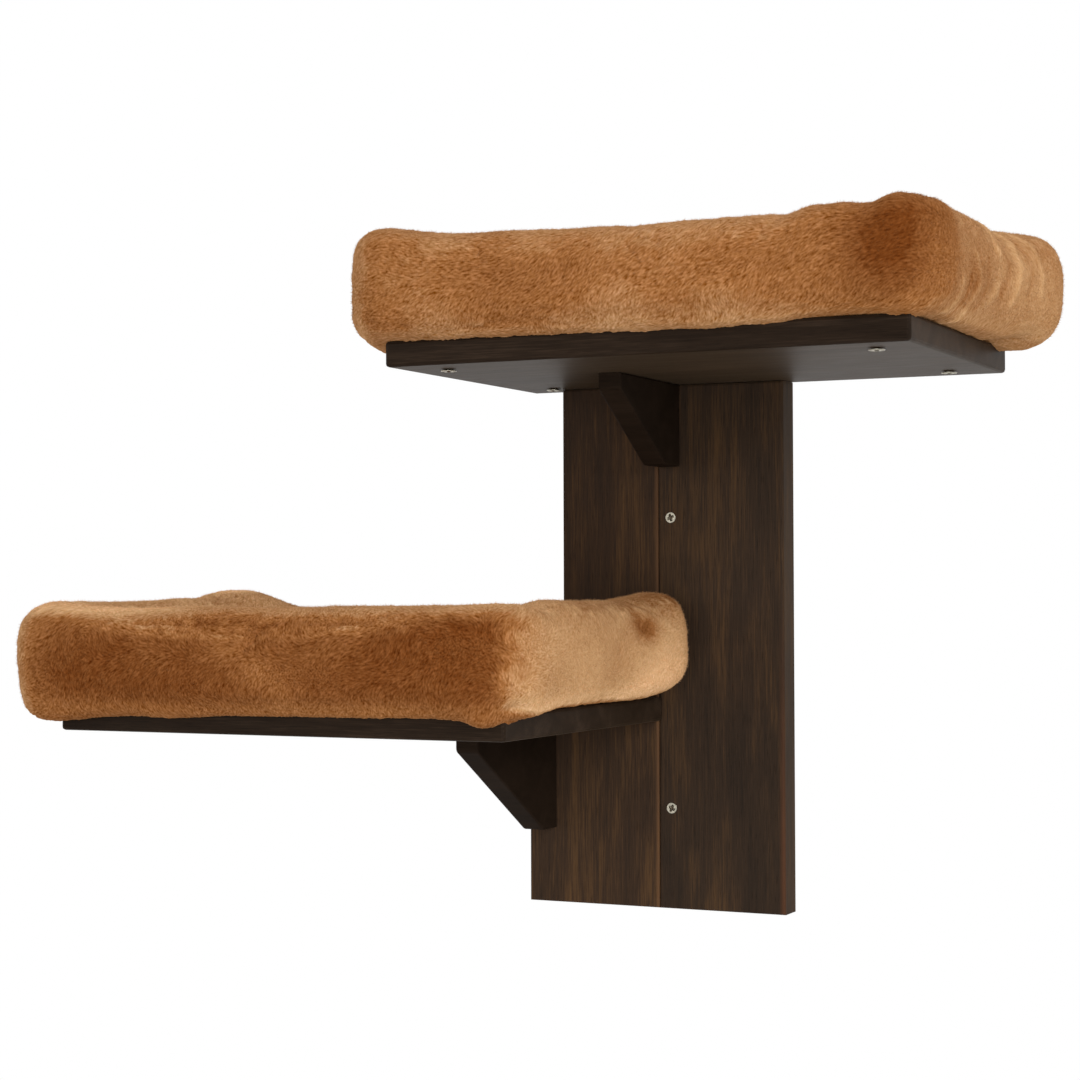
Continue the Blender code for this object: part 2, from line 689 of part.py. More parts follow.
def screw_sets(upper_bracket, lower_bracket):
    """Every group of screws in the plate, the boards and the brackets."""
    spread = {"left": -UPPER_BOARD_SCREW_SPACING, "middle": 0, "right": UPPER_BOARD_SCREW_SPACING}
    upper_places = {end: (x, PLATE_FRONT / 2, UPPER_BOARD.high.z) for end, x in spread.items()}
    last = LOWER_BOARD_RIGHT - LOWER_BOARD_SCREW_END
    middle = LOWER_BOARD.centre().z
    lower_places = {
        "right": (last, 0, middle),
        "middle": (last - LOWER_BOARD_SCREW_SPACING, 0, middle),
        "left": (last - 2 * LOWER_BOARD_SCREW_SPACING, 0, middle),
    }
    wall_sizes = (WALL_HEAD_DIAMETER, WALL_HEAD_HEIGHT, WALL_SHANK_DIAMETER, PLATE_THICKNESS + WALL_BITE)
    wall_places = {"upper": (0, PLATE_FRONT, WALL_SCREW_Z), "lower": (0, PLATE_FRONT, -WALL_SCREW_Z)}
    sets = {
        "upper_board": assembly_screws("upper_board_screw", upper_places, DOWN, BOARD_THICKNESS),
        "lower_board": assembly_screws("lower_board_screw", lower_places, OUT_OF_WALL, PLATE_THICKNESS),
        "wall": countersunk_set("wall_screw", wall_sizes, wall_places, INTO_WALL),
    }
    for name, (_, above, behind) in (("upper_bracket", upper_bracket), ("lower_bracket", lower_bracket)):
        screw = f"{name}_screw"
        sets[f"{name}_top"] = assembly_screws(screw, {"top": above}, DOWN, BOARD_THICKNESS)
        sets[f"{name}_back"] = assembly_screws(screw, {"back": behind}, OUT_OF_WALL, PLATE_THICKNESS)
    return sets


def build_bracket(name, outline, behind, left, top, sets, material, root):
    """A bracket with the holes for its two screws, one from above and one from behind."""
    bracket = add_object(name, bracket_solid(outline, left, top), behind, material, root)
    for end in ("top", "back"):
        cut_away(bracket, sets[f"{name}_{end}"].holes(), f"{end}_hole", root)


def make_materials():
    """The finishes of the wood, the metal and the plush."""
    return {
        "walnut_left": finish_material("walnut_left_stave", (0.047, 0.026, 0.018), 0.45),
        "walnut_right": finish_material("walnut_right_stave", (0.042, 0.027, 0.020), 0.45),
        "walnut_board": finish_material("walnut_board", (0.027, 0.017, 0.013), 0.45),
        "beech": finish_material("beech", (0.58, 0.40, 0.24), 0.6),
        "plywood": finish_material("plywood", (0.52, 0.37, 0.22), 0.6),
        "zinc": finish_material("zinc_plated_steel", (0.55, 0.54, 0.50), 0.35, 1.0),
        "plush": finish_material("plush", (0.40, 0.17, 0.055), 0.95),
    }


def make_beds():
    """The two beds, each on its board."""
    upper = Bed(
        "upper_bed",
        UPPER_BOARD,
        (UPPER_BED_LEFT_OVERHANG, UPPER_BED_RIGHT_OVERHANG, UPPER_BED_FRONT_OVERHANG),
        UPPER_BED_REAR_BULGE,
        UPPER_BED_DROOP,
        UPPER_BED_HEIGHT_SHARES,
        UPPER_BED_DROOP_SHARES,
    )
    lower = Bed(
        "lower_bed",
        LOWER_BOARD,
        (LOWER_BED_LEFT_OVERHANG, LOWER_BED_RIGHT_OVERHANG, LOWER_BED_FRONT_OVERHANG),
        LOWER_BED_REAR_BULGE,
        LOWER_BED_DROOP,
        LOWER_BED_HEIGHT_SHARES,
        LOWER_BED_DROOP_SHARES,
    )
    return upper, lower


def main():
    """Build the whole shelf."""
    clear_scene()
    root = bpy.data.objects.new("cat_wall_shelf", None)
    bpy.context.collection.objects.link(root)
    materials = make_materials()
    walnut = materials["walnut_board"]
    upper_bracket = bracket_sizes(
        UPPER_BRACKET_DEPTH,
        UPPER_BRACKET_HEIGHT,
        UPPER_BRACKET_NOSE,
        UPPER_BRACKET_FOOT,
        SEAM_X,
        PLATE_TOP,
    )
    lower_bracket = bracket_sizes(
        LOWER_BRACKET_DEPTH,
        LOWER_BRACKET_HEIGHT,
        LOWER_BRACKET_NOSE,
        LOWER_BRACKET_FOOT,
        LOWER_BRACKET_LEFT,
        LOWER_BOARD.low.z,
    )
    sets = screw_sets(upper_bracket, lower_bracket)
    upper_bed, lower_bed = make_beds()
    upper_bed_screws = upper_bed.screws()
    lower_bed_screws = lower_bed.screws()

    through_plate = ("upper_board", "lower_board", "upper_bracket_back", "lower_bracket_back", "wall")
    build_plate(dowel_places(upper_bracket), [sets[name] for name in through_plate], materials, root)
    upper_board_sets = (sets["upper_board"], sets["upper_bracket_top"], upper_bed_screws)
    build_board("upper_shelf_board", UPPER_BOARD, upper_board_sets, walnut, root)
    lower_board_sets = (sets["lower_board"], sets["lower_bracket_top"], lower_bed_screws)
    build_board("lower_shelf_board", LOWER_BOARD, lower_board_sets, walnut, root)
    outline, _, behind = upper_bracket
    build_bracket("upper_bracket", outline, behind, SEAM_X, PLATE_TOP, sets, walnut, root)
    outline, _, behind = lower_bracket
    build_bracket("lower_bracket", outline, behind, LOWER_BRACKET_LEFT, LOWER_BOARD.low.z, sets, walnut, root)
    for screw_set in (*sets.values(), upper_bed_screws, lower_bed_screws):
        add_copies(screw_set.profile, screw_set.placements, materials["zinc"], root)
    upper_bed.build(upper_bed_screws, materials, root)
    lower_bed.build(lower_bed_screws, materials, root)


main()
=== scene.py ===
"""Cat wall shelf with two plush beds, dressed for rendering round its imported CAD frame.

The wood, the hidden screws, the dowels and the base panels are the CAD nodes with their own finishes.
The bolsters, the floor pads and the visible screws are new pieces that stand for their nodes.
Shapes are worked out in millimetres in the frame of the part: +X right, +Y into the wall, +Z up.
"""
import logging
import math
from dataclasses import dataclass
from enum import Enum

import bpy
import numpy as np
from mathutils import Matrix, Vector


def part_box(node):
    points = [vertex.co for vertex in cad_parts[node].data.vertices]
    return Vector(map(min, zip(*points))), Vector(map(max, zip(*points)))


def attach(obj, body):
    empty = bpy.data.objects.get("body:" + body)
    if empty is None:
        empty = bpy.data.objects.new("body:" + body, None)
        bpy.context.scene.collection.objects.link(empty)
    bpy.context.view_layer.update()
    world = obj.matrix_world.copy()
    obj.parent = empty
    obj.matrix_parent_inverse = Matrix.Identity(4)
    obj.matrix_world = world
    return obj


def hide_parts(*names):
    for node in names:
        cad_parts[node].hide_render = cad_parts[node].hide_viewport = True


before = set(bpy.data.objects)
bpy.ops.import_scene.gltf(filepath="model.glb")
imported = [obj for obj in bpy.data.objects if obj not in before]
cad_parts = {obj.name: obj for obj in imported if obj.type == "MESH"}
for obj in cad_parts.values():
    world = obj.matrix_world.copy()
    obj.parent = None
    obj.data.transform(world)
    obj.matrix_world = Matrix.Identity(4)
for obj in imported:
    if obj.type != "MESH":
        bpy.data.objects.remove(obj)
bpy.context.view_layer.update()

LOG = logging.getLogger("cat_wall_shelf")
MM = 0.001
FULL_TURN = 2 * math.pi
QUARTER_TURN = math.pi / 2
TINY = 1e-6
BODY = "root"
LEVELS = ("upper", "lower")
SETTLING_FRAMES = 20
# Steps in rows and columns to the corners of a grid's cell, in the order that makes its face look outward
CELL_CORNERS = ((1, 0), (1, 1), (0, 1), (0, 0))

Array = np.ndarray
Colour = tuple[float, float, float, float]
Triple = tuple[float, float, float]
Material = bpy.types.Material
Piece = bpy.types.Object
Socket = bpy.types.NodeSocket


class Axis(Enum):
    """A direction of the part's frame, as its place in a point."""

    X = 0
    Y = 1
    Z = 2


def linear(code: str) -> Colour:
    """Turn an sRGB colour code into the linear colour that a shader takes.

    Args:
        code: Six hexadecimal digits after a hash sign.

    Returns:
        Linear red, green and blue, and an alpha of one.
    """
    parts = [int(code[start:start + 2], 16) / 255 for start in (1, 3, 5)]
    low = [part / 12.92 if part <= 0.04045 else ((part + 0.055) / 1.055) ** 2.4 for part in parts]
    return (*low, 1.0)


def grey(level: float) -> Colour:
    """A neutral linear colour of one level."""
    return (level, level, level, 1.0)


def ease(value: Array, start: float = 0.0, width: float = 1.0) -> Array:
    """Smooth step: 3 v² - 2 v³, where v is how far past the start in widths, held between 0 and 1."""
    held = np.clip((value - start) / width, 0, 1)
    return held * held * (3 - 2 * held)


def unit(vectors: Array) -> Array:
    """The same vectors, each with a length of one."""
    return vectors / np.maximum(np.linalg.norm(vectors, axis=-1, keepdims=True), 1e-9)


def rounded(angles: Array, power: float) -> tuple[Array, Array]:
    """Places across and up on a superellipse: the angle's cosine and sine to a power, with their signs."""
    across, up = (np.sign(wave) * np.abs(wave) ** power for wave in (np.cos(angles), np.sin(angles)))
    return across, up


# Node trees

class Graph:
    """A node tree with short ways to add its nodes; each input is a value or the socket that feeds it."""

    def __init__(self, tree: bpy.types.NodeTree) -> None:
        """Take the tree that the nodes go into."""
        self.tree = tree

    def feed(self, node: bpy.types.Node, inputs: dict) -> None:
        """Fill or link inputs of a node.

        Args:
            node: The node.
            inputs: Input name or number to a value, or to the socket that feeds it.
        """
        for place, value in inputs.items():
            if isinstance(value, Socket):
                self.tree.links.new(value, node.inputs[place])
            else:
                node.inputs[place].default_value = value

    def add(self, kind: str, inputs: dict | None = None, **settings) -> bpy.types.Node:
        """Add a node, set its options and feed it.

        Args:
            kind: The node's type, without the ShaderNode in front of it.
            inputs: Input name or number to a value or a socket.
            settings: Options of the node itself.

        Returns:
            The new node.
        """
        node = self.tree.nodes.new(f"ShaderNode{kind}")
        for option, value in settings.items():
            setattr(node, option, value)
        self.feed(node, inputs or {})
        return node

    def math(self, operation: str, *values: Socket | float) -> Socket:
        """The output of a math node."""
        return self.add("Math", dict(enumerate(values)), operation=operation).outputs[0]

    def mix(self, blend: str, share: Socket | float, first: Socket, second: Socket | Colour) -> Socket:
        """The output of a colour mix."""
        inputs = {0: share, 6: first, 7: second}
        return self.add("Mix", inputs, data_type="RGBA", blend_type=blend).outputs[2]

    def ramp(self, source: Socket, *stops: tuple[float, Colour]) -> Socket:
        """Colour ramp over a value.

        Args:
            source: The value that the ramp reads.
            stops: Pairs of a place from 0 to 1 and a linear colour.

        Returns:
            The ramp's colour.
        """
        node = self.add("ValToRGB", {"Fac": source})
        elements = node.color_ramp.elements
        while len(elements) < len(stops):
            elements.new(0.5)
        for element, (place, colour) in zip(elements, stops):
            element.position = place
            element.color = colour
        return node.outputs["Color"]

    def mapped(self, value: Socket, reach: tuple[float, float], result: tuple[float, float]) -> Socket:
        """A value's place between two ends, as the same place between two others, held between them."""
        ends = dict(enumerate((*reach, *result), 1))
        return self.add("MapRange", {"Value": value, **ends}).outputs["Result"]

    def here(self) -> Socket:
        """Object coordinates, in metres."""
        return self.add("TexCoord").outputs["Object"]

    def pattern(self, scale: Triple, shift: Triple = (0, 0, 0)) -> Socket:
        """Object coordinates, multiplied by a scale in cycles per metre and moved by a shift."""
        inputs = {"Vector": self.here(), "Scale": scale, "Location": shift}
        return self.add("Mapping", inputs).outputs["Vector"]

    def noise(self, place: Socket, detail: float, roughness: float = 0.5, bend: float = 0.0,
              scale: float = 1.0) -> Socket:
        """Fractal noise round 0.5 at a place."""
        inputs = {"Scale": scale, "Detail": detail, "Roughness": roughness, "Distortion": bend}
        return self.add("TexNoise", {"Vector": place, **inputs}).outputs["Fac"]

    def attribute(self, name: str, output: str = "Fac") -> Socket:
        """What a piece carries under a name."""
        return self.add("Attribute", attribute_name=name).outputs[output]

    def bump(self, height: Socket, strength: float, distance: float) -> Socket:
        """The normal that a height gives, with its full height in metres."""
        inputs = {"Height": height, "Strength": strength, "Distance": distance}
        return self.add("Bump", inputs).outputs["Normal"]

    def seen(self) -> Socket:
        """One for what the camera sees straight or in a reflection, and zero for all other light."""
        rays = self.add("LightPath").outputs
        return self.math("MAXIMUM", rays["Is Camera Ray"], rays["Is Glossy Ray"])


def start_material(name: str) -> tuple[Material, Graph, bpy.types.Node]:
    """A new material with its graph and its Principled shader.

    Args:
        name: The material's name.

    Returns:
        The material, its graph and its shader.
    """
    material = bpy.data.materials.new(name)
    material.use_nodes = True
    graph = Graph(material.node_tree)
    return material, graph, graph.tree.nodes["Principled BSDF"]


# Finishes

@dataclass(frozen=True)
class Finish:
    """A surface of the shelf; each kind says what its Principled shader is fed."""

    name: str

    def feeds(self, graph: Graph) -> dict:
        """What goes into each of the shader's inputs, by name."""
        raise NotImplementedError

    def material(self) -> Material:
        """Build the finish.

        Returns:
            The finished material.
        """
        material, graph, shader = start_material(self.name)
        graph.feed(shader, self.feeds(graph))
        return material


@dataclass(frozen=True)
class PaintedEdgeHighlight:
    """An upright edge with a painted highlight along it: its place in plan, its width and where it fades out.
    """

    place_mm: tuple[float, float]
    width_mm: float
    colour: str
    strength: float
    fades_mm: tuple[float, float] = (900.0, 901.0)


@dataclass(frozen=True)
class Growth:
    """One scale of a wood's pattern: its cells' width, their length in widths, and its share of the tone."""

    width_mm: float
    long: float
    detail: float
    bend: float = 0.0
    gain: float = 0.0


@dataclass(frozen=True)
class Walnut(Finish):
    """Dark walnut-stained hardwood in satin oil: short fibres, long growth lines and golden figure."""

    grain: Axis
    dark: str
    mid: str
    light: str
    shift: Triple = (0.0, 0.0, 0.0)
    roughness: float = 0.62
    shine: float = 0.04
    bloom: float = 0.10
    # Edges with a painted highlight along them.
    edges: tuple[PaintedEdgeHighlight, ...] = ()
    fibres: Growth = Growth(1.1, 32.0, 3.0, 0.3, gain=0.62)
    lines: Growth = Growth(11.0, 22.0, 2.0, gain=0.22)
    figure: Growth = Growth(26.0, 7.0, 3.0, 0.8, gain=0.80)
    pores: Growth = Growth(0.55, 24.0, 1.0)

    def grown(self, graph: Graph, growth: Growth) -> Socket:
        """Noise round zero with long cells along the grain.

        Args:
            graph: The graph that the noise goes into.
            growth: The size of its cells.

        Returns:
            The noise.
        """
        across = 1000 / growth.width_mm
        scale = [across] * 3
        scale[self.grain.value] = across / growth.long
        place = graph.pattern(tuple(scale), self.shift)
        return graph.math("SUBTRACT", graph.noise(place, growth.detail, 0.55, growth.bend), 0.5)

    def edge_highlight(self, graph: Graph, edge: PaintedEdgeHighlight) -> Socket:
        """How strong the painted highlight is: one at the edge, falling to none across its width and above
        its fade.

        Args:
            graph: The graph that the nodes go into.
            edge: The edge.

        Returns:
            The share of the highlight colour, times the edge's strength.
        """
        apart = graph.add("SeparateXYZ", {0: graph.here()}).outputs
        x, y = (graph.math("SUBTRACT", apart[axis], place * MM) for axis, place in zip("XY", edge.place_mm))
        away = graph.math("SQRT", graph.math("MULTIPLY_ADD", x, x, graph.math("POWER", y, 2.0)))
        near = graph.mapped(away, (0.0, edge.width_mm * MM), (1.0, 0.0))
        low, high = edge.fades_mm
        below = graph.mapped(apart["Z"], (low * MM, high * MM), (1.0, 0.0))
        return graph.math("MULTIPLY", graph.math("MULTIPLY", near, below), edge.strength)

    def feeds(self, graph: Graph) -> dict:
        """Sum the fibres, the growth lines and the figure into one tone, and cut the pores into it.

        Args:
            graph: The graph that the nodes go into.

        Returns:
            What goes into each of the shader's inputs.
        """
        fibres = self.grown(graph, self.fibres)
        tone = graph.math("MULTIPLY_ADD", fibres, self.fibres.gain, 0.5)
        for growth in (self.lines, self.figure):
            tone = graph.math("MULTIPLY_ADD", self.grown(graph, growth), growth.gain, tone)
        stains = [linear(code) for code in (self.dark, self.mid, self.light)]
        wood = graph.ramp(tone, *zip((0.15, 0.5, 0.88), stains))
        pores = graph.math("MULTIPLY_ADD", self.grown(graph, self.pores), 2.0, 1.10)
        shade = graph.math("MINIMUM", pores, 1.0)
        colour = graph.mix("MULTIPLY", 1.0, wood, graph.ramp(shade, (0.6, grey(0.62)), (1.0, grey(1.0))))
        # Painted highlights: a lighter colour along the seam and the arris.
        for edge in self.edges:
            colour = graph.mix("MIX", self.edge_highlight(graph, edge), colour, linear(edge.colour))
        relief = graph.math("MULTIPLY_ADD", fibres, 0.6, shade)
        return {
            "Base Color": colour,
            "Roughness": graph.math("MULTIPLY_ADD", fibres, 0.3, self.roughness),
            "Specular IOR Level": self.shine,
            "Sheen Weight": self.bloom,
            "Sheen Roughness": 0.45,
            "Sheen Tint": linear("#B89A78"),
            "Normal": graph.bump(relief, 0.25, 0.0002),
        }


@dataclass(frozen=True)
class PaleWood(Finish):
    """Plain beech or birch inside the shelf: pale, with fine flecks along the grain."""

    grain: Axis
    dark: str
    light: str
    across: float = 700.0
    along: float = 25.0

    def feeds(self, graph: Graph) -> dict:
        """Colour the flecks from dark to light.

        Args:
            graph: The graph that the nodes go into.

        Returns:
            What goes into each of the shader's inputs.
        """
        scale = [self.across] * 3
        scale[self.grain.value] = self.along
        flecks = graph.noise(graph.pattern(tuple(scale)), 3.0)
        return {
            "Base Color": graph.ramp(flecks, (0.3, linear(self.dark)), (0.7, linear(self.light))),
            "Roughness": graph.math("MULTIPLY_ADD", flecks, 0.2, 0.5),
        }


@dataclass(frozen=True)
class ZincSteel(Finish):
    """Zinc-plated steel of a screw: bright, faintly mottled, with painted shade in the recess of a driven
    one.
    """

    bright: str = "#BDB7A6"
    dull: str = "#989182"
    # Painted shade: the colour of the cross recess, and of the underside and shank of a domed head.
    recess: str = "#3A2D20"
    with_recess: bool = True

    def feeds(self, graph: Graph) -> dict:
        """Mottle the plating and paint shade into the recess.

        Args:
            graph: The graph that the nodes go into.

        Returns:
            What goes into each of the shader's inputs.
        """
        mottle = graph.noise(graph.pattern((900.0, 900.0, 900.0)), 4.0, 0.6)
        colour = graph.ramp(mottle, (0.35, linear(self.dull)), (0.65, linear(self.bright)))
        # Painted shade where the piece marks its recess.
        if self.with_recess:
            colour = graph.mix("MIX", graph.attribute("recess"), colour, linear(self.recess))
        rough = graph.math("MULTIPLY_ADD", mottle, 0.25, 0.22)
        return {"Base Color": colour, "Roughness": rough, "Metallic": 1.0}


@dataclass(frozen=True)
class Plush(Finish):
    """Short dense cut pile of polyester: brushed lighter and darker, partly with painted light and shade,
    with a soft sheen.

    Its hairs are a fine noise dragged along the nap that each piece carries, and they show less where the
    piece's own depth is small and where the pile lies towards the light.
    """

    dark: str
    mid: str
    light: str
    pale: str
    hair_mm: float = 1.45
    drag_mm: tuple[float, ...] = (-1.0, -0.33, 0.33, 1.0)
    contrast: float = 2.8
    mottle_mm: float = 6.0
    places: tuple[float, ...] = (0.0, 0.4, 0.8, 1.0)
    # Multipliers of the hair pattern: painted shade between the hairs, and a painted highlight on their tips.
    between: Colour = (0.5, 0.33, 0.04, 1.0)
    tip: Colour = (1.5, 1.67, 2.2, 1.0)

    def hairs(self, graph: Graph) -> Socket:
        """The mean of a fine noise at a few places along the nap.

        Args:
            graph: The graph that the nodes go into.

        Returns:
            A value round 0.5.
        """
        here, nap = graph.here(), graph.attribute("nap", "Vector")
        total: Socket | float = 0.0
        for drag in self.drag_mm:
            shift = graph.add("VectorMath", {0: nap, "Scale": drag * MM}, operation="SCALE").outputs[0]
            place = graph.add("VectorMath", {0: here, 1: shift}, operation="ADD").outputs[0]
            total = graph.math("ADD", total, graph.noise(place, 1.0, scale=1000 / self.hair_mm))
        return graph.math("DIVIDE", total, float(len(self.drag_mm)))

    def feeds(self, graph: Graph) -> dict:
        """Colour the pile by the tone, nap, depth and streak that each piece carries.

        Args:
            graph: The graph that the nodes go into.

        Returns:
            What goes into each of the shader's inputs.
        """
        tone, streak = graph.attribute("nap_tone"), graph.attribute("pile_streak")
        mottle = graph.noise(graph.pattern((1000 / self.mottle_mm,) * 3), 3.0, 0.6)
        mixed = graph.math("MULTIPLY_ADD", mottle, 0.10, graph.math("ADD", tone, -0.05))
        colours = [linear(code) for code in (self.dark, self.mid, self.light, self.pale)]
        # Tones above one, made by painted light, run on to the pale colour.
        ground = graph.ramp(graph.math("MULTIPLY", mixed, 0.8), *zip(self.places, colours))
        hairs = self.hairs(graph)
        contrast = graph.mapped(tone, (0.45, 1.0), (self.contrast, self.contrast / 2))
        depth = graph.math("MULTIPLY", contrast, graph.attribute("pile_depth"))
        both = graph.math("MULTIPLY_ADD", graph.math("SUBTRACT", streak, 0.5), 0.1, hairs)
        share = graph.math("MULTIPLY_ADD", graph.math("SUBTRACT", both, 0.5), depth, 0.5)
        # Painted shade and highlight of the hairs: dark between them, light on their tips.
        tips = graph.ramp(share, (0.0, self.between), (0.5, grey(1.0)), (1.0, self.tip))
        return {
            "Base Color": graph.mix("MULTIPLY", 1.0, ground, tips),
            "Roughness": 0.95,
            "Specular IOR Level": 0.05,
            "Sheen Weight": 0.45,
            "Sheen Roughness": 0.28,
            "Sheen Tint": linear("#F0B57C"),
            "Normal": graph.bump(hairs, 0.4, 0.001),
        }


# Grids and fields

def resampled(values: Array, places: Array, axis: int, wrap: bool) -> Array:
    """Read a grid between its samples along one axis with a cubic through four neighbours.

    The value at a share t between two samples is the Catmull-Rom sum of the two samples on either side.

    Args:
        values: The grid, with any number of channels after its first two axes.
        places: Where to read, counted in samples.
        axis: The axis that is read between samples.
        wrap: Whether the axis closes on itself.

    Returns:
        The grid with as many samples along the axis as there are places.
    """
    count = values.shape[axis]
    whole = np.floor(places).astype(int)
    share = places - whole
    weights = (
        -0.5 * share + share**2 - 0.5 * share**3,
        1 - 2.5 * share**2 + 1.5 * share**3,
        0.5 * share + 2 * share**2 - 1.5 * share**3,
        -0.5 * share**2 + 0.5 * share**3,
    )
    shape = [1] * values.ndim
    shape[axis] = len(places)
    total = 0
    for step, weight in enumerate(weights):
        index = whole + step - 1
        index = index % count if wrap else np.clip(index, 0, count - 1)
        total = total + np.take(values, index, axis=axis) * weight.reshape(shape)
    return total


def soft_noise(random: np.random.Generator, shape: tuple, cells: tuple, wrap: bool) -> Array:
    """Smooth noise with a mean of zero and a spread of one.

    Args:
        random: The seeded source of the lattice's values.
        shape: Rows and columns of the result.
        cells: Rows and columns of the lattice that the cubic runs through.
        wrap: Whether the rows close on themselves, as the columns always do.

    Returns:
        The noise on the grid.
    """
    lattice = random.standard_normal(cells)
    rows, columns = (np.arange(count) * cell / count for count, cell in zip(shape, cells))
    found = resampled(resampled(lattice, rows, 0, wrap), columns, 1, True)
    return (found - found.mean()) / found.std()


def combed(values: Array, rows_step: Array, columns_step: Array, steps: int, wrap: bool) -> Array:
    """Drag a field along the nap: each point takes the mean of the points before and after it there.

    Args:
        values: The field on the grid.
        rows_step: How many rows one step along the nap crosses, at each point.
        columns_step: How many columns one step crosses.
        steps: Number of steps to each side.
        wrap: Whether the rows close on themselves.

    Returns:
        The combed field, with a mean of zero and a spread of one.
    """
    count_rows, count_columns = values.shape
    row, column = np.meshgrid(np.arange(count_rows), np.arange(count_columns), indexing="ij")
    total = np.zeros_like(values)
    for step in range(-steps, steps + 1):
        at_row = row + rows_step * step
        at_column = column + columns_step * step
        low_row, low_column = np.floor(at_row).astype(int), np.floor(at_column).astype(int)
        share_row, share_column = at_row - low_row, at_column - low_column
        for add_row, weight_row in ((0, 1 - share_row), (1, share_row)):
            pick = low_row + add_row
            pick = pick % count_rows if wrap else np.clip(pick, 0, count_rows - 1)
            for add_column, weight_column in ((0, 1 - share_column), (1, share_column)):
                found = values[pick, (low_column + add_column) % count_columns]
                total += found * weight_row * weight_column
    return (total - total.mean()) / total.std()


def slopes(points: Array, wrap: bool) -> tuple[Array, Array]:
    """Half the difference between each grid point's two neighbours.

    Args:
        points: The grid.
        wrap: Whether the rows and the columns close on themselves.

    Returns:
        The differences along the rows' axis and along the columns' axis.
    """
    if wrap:
        down, around = ((np.roll(points, -1, axis) - np.roll(points, 1, axis)) / 2 for axis in (0, 1))
    else:
        down, around = (np.gradient(points, axis=axis) for axis in (0, 1))
    return down, around


def normals(points: Array, wrap: bool) -> Array:
    """Directions out of a grid's surface."""
    return unit(np.cross(*slopes(points, wrap)))


def numbered(rows: int, columns: int) -> Array:
    """Vertex numbers of a grid."""
    return np.arange(rows * columns).reshape(rows, columns)


def quads(index: Array, wrap_rows: bool, wrap_columns: bool) -> Array:
    """Faces between neighbours of a grid.

    Args:
        index: Vertex numbers on the grid.
        wrap_rows: Whether the rows close on themselves.
        wrap_columns: Whether the columns do.

    Returns:
        The four corners of each face, in the order of the cell corners.
    """
    rows = np.concatenate([index, index[:1]]) if wrap_rows else index
    grid = np.concatenate([rows, rows[:, :1]], axis=1) if wrap_columns else rows
    high, wide = grid.shape[0] - 1, grid.shape[1] - 1
    corners = [grid[down:high + down, right:wide + right] for down, right in CELL_CORNERS]
    return np.stack(corners, -1).reshape(-1, 4)


def fan(rim: Array, middle: int) -> Array:
    """Triangles from a closed rim of vertex numbers to one vertex in its middle."""
    return np.stack([rim, np.roll(rim, -1), np.full(len(rim), middle)], -1)


def piece_from(name: str, points: Array, faces: list[Array]) -> Piece:
    """Make an object at the origin from points in millimetres.

    Args:
        name: The object's name.
        points: One row for each vertex.
        faces: Arrays of faces, each array with one number of corners.

    Returns:
        The object, smooth shaded and linked to the scene.
    """
    mesh = bpy.data.meshes.new(name)
    corners = np.concatenate([group.ravel() for group in faces]).astype(np.int32)
    sizes = np.concatenate([np.full(len(group), group.shape[1]) for group in faces])
    starts = np.concatenate([[0], np.cumsum(sizes)[:-1]]).astype(np.int32)
    mesh.vertices.add(len(points))
    mesh.loops.add(len(corners))
    mesh.polygons.add(len(sizes))
    mesh.vertices.foreach_set("co", (points * MM).astype(np.float32).ravel())
    mesh.loops.foreach_set("vertex_index", corners)
    mesh.polygons.foreach_set("loop_start", starts)
    mesh.polygons.foreach_set("use_smooth", np.ones(len(sizes), bool))
    mesh.update(calc_edges=True)
    mesh.validate()
    piece = bpy.data.objects.new(name, mesh)
    bpy.context.scene.collection.objects.link(piece)
    return piece


def paint(piece: Piece, **layers: Array) -> None:
    """Store numbers or directions on the vertices as attributes that the finish reads.

    Args:
        piece: The piece.
        layers: Each attribute's name to one row for each vertex.
    """
    for name, values in layers.items():
        kind, place = ("FLOAT_VECTOR", "vector") if values.ndim == 2 else ("FLOAT", "value")
        attribute = piece.data.attributes.new(name, kind, "POINT")
        attribute.data.foreach_set(place, values.astype(np.float32).ravel())


def lay_flat(piece: Piece, *places: Array) -> None:
    """Store where each face's corners lie on the texture that a bake fills."""
    laid = np.concatenate([group.reshape(-1, 2) for group in places])
    piece.data.uv_layers.new(name="OFBake").uv.foreach_set("vector", laid.astype(np.float32).ravel())


def hand_over(piece: Piece, finish: Material, node: str) -> Piece:
    """Give a piece its finish, the node that it stands for and the body that it rides.

    Args:
        piece: The piece.
        finish: Its material.
        node: The CAD node that it replaces.

    Returns:
        The same piece.
    """
    piece.data.materials.append(finish)
    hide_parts(node)
    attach(piece, BODY)
    return piece


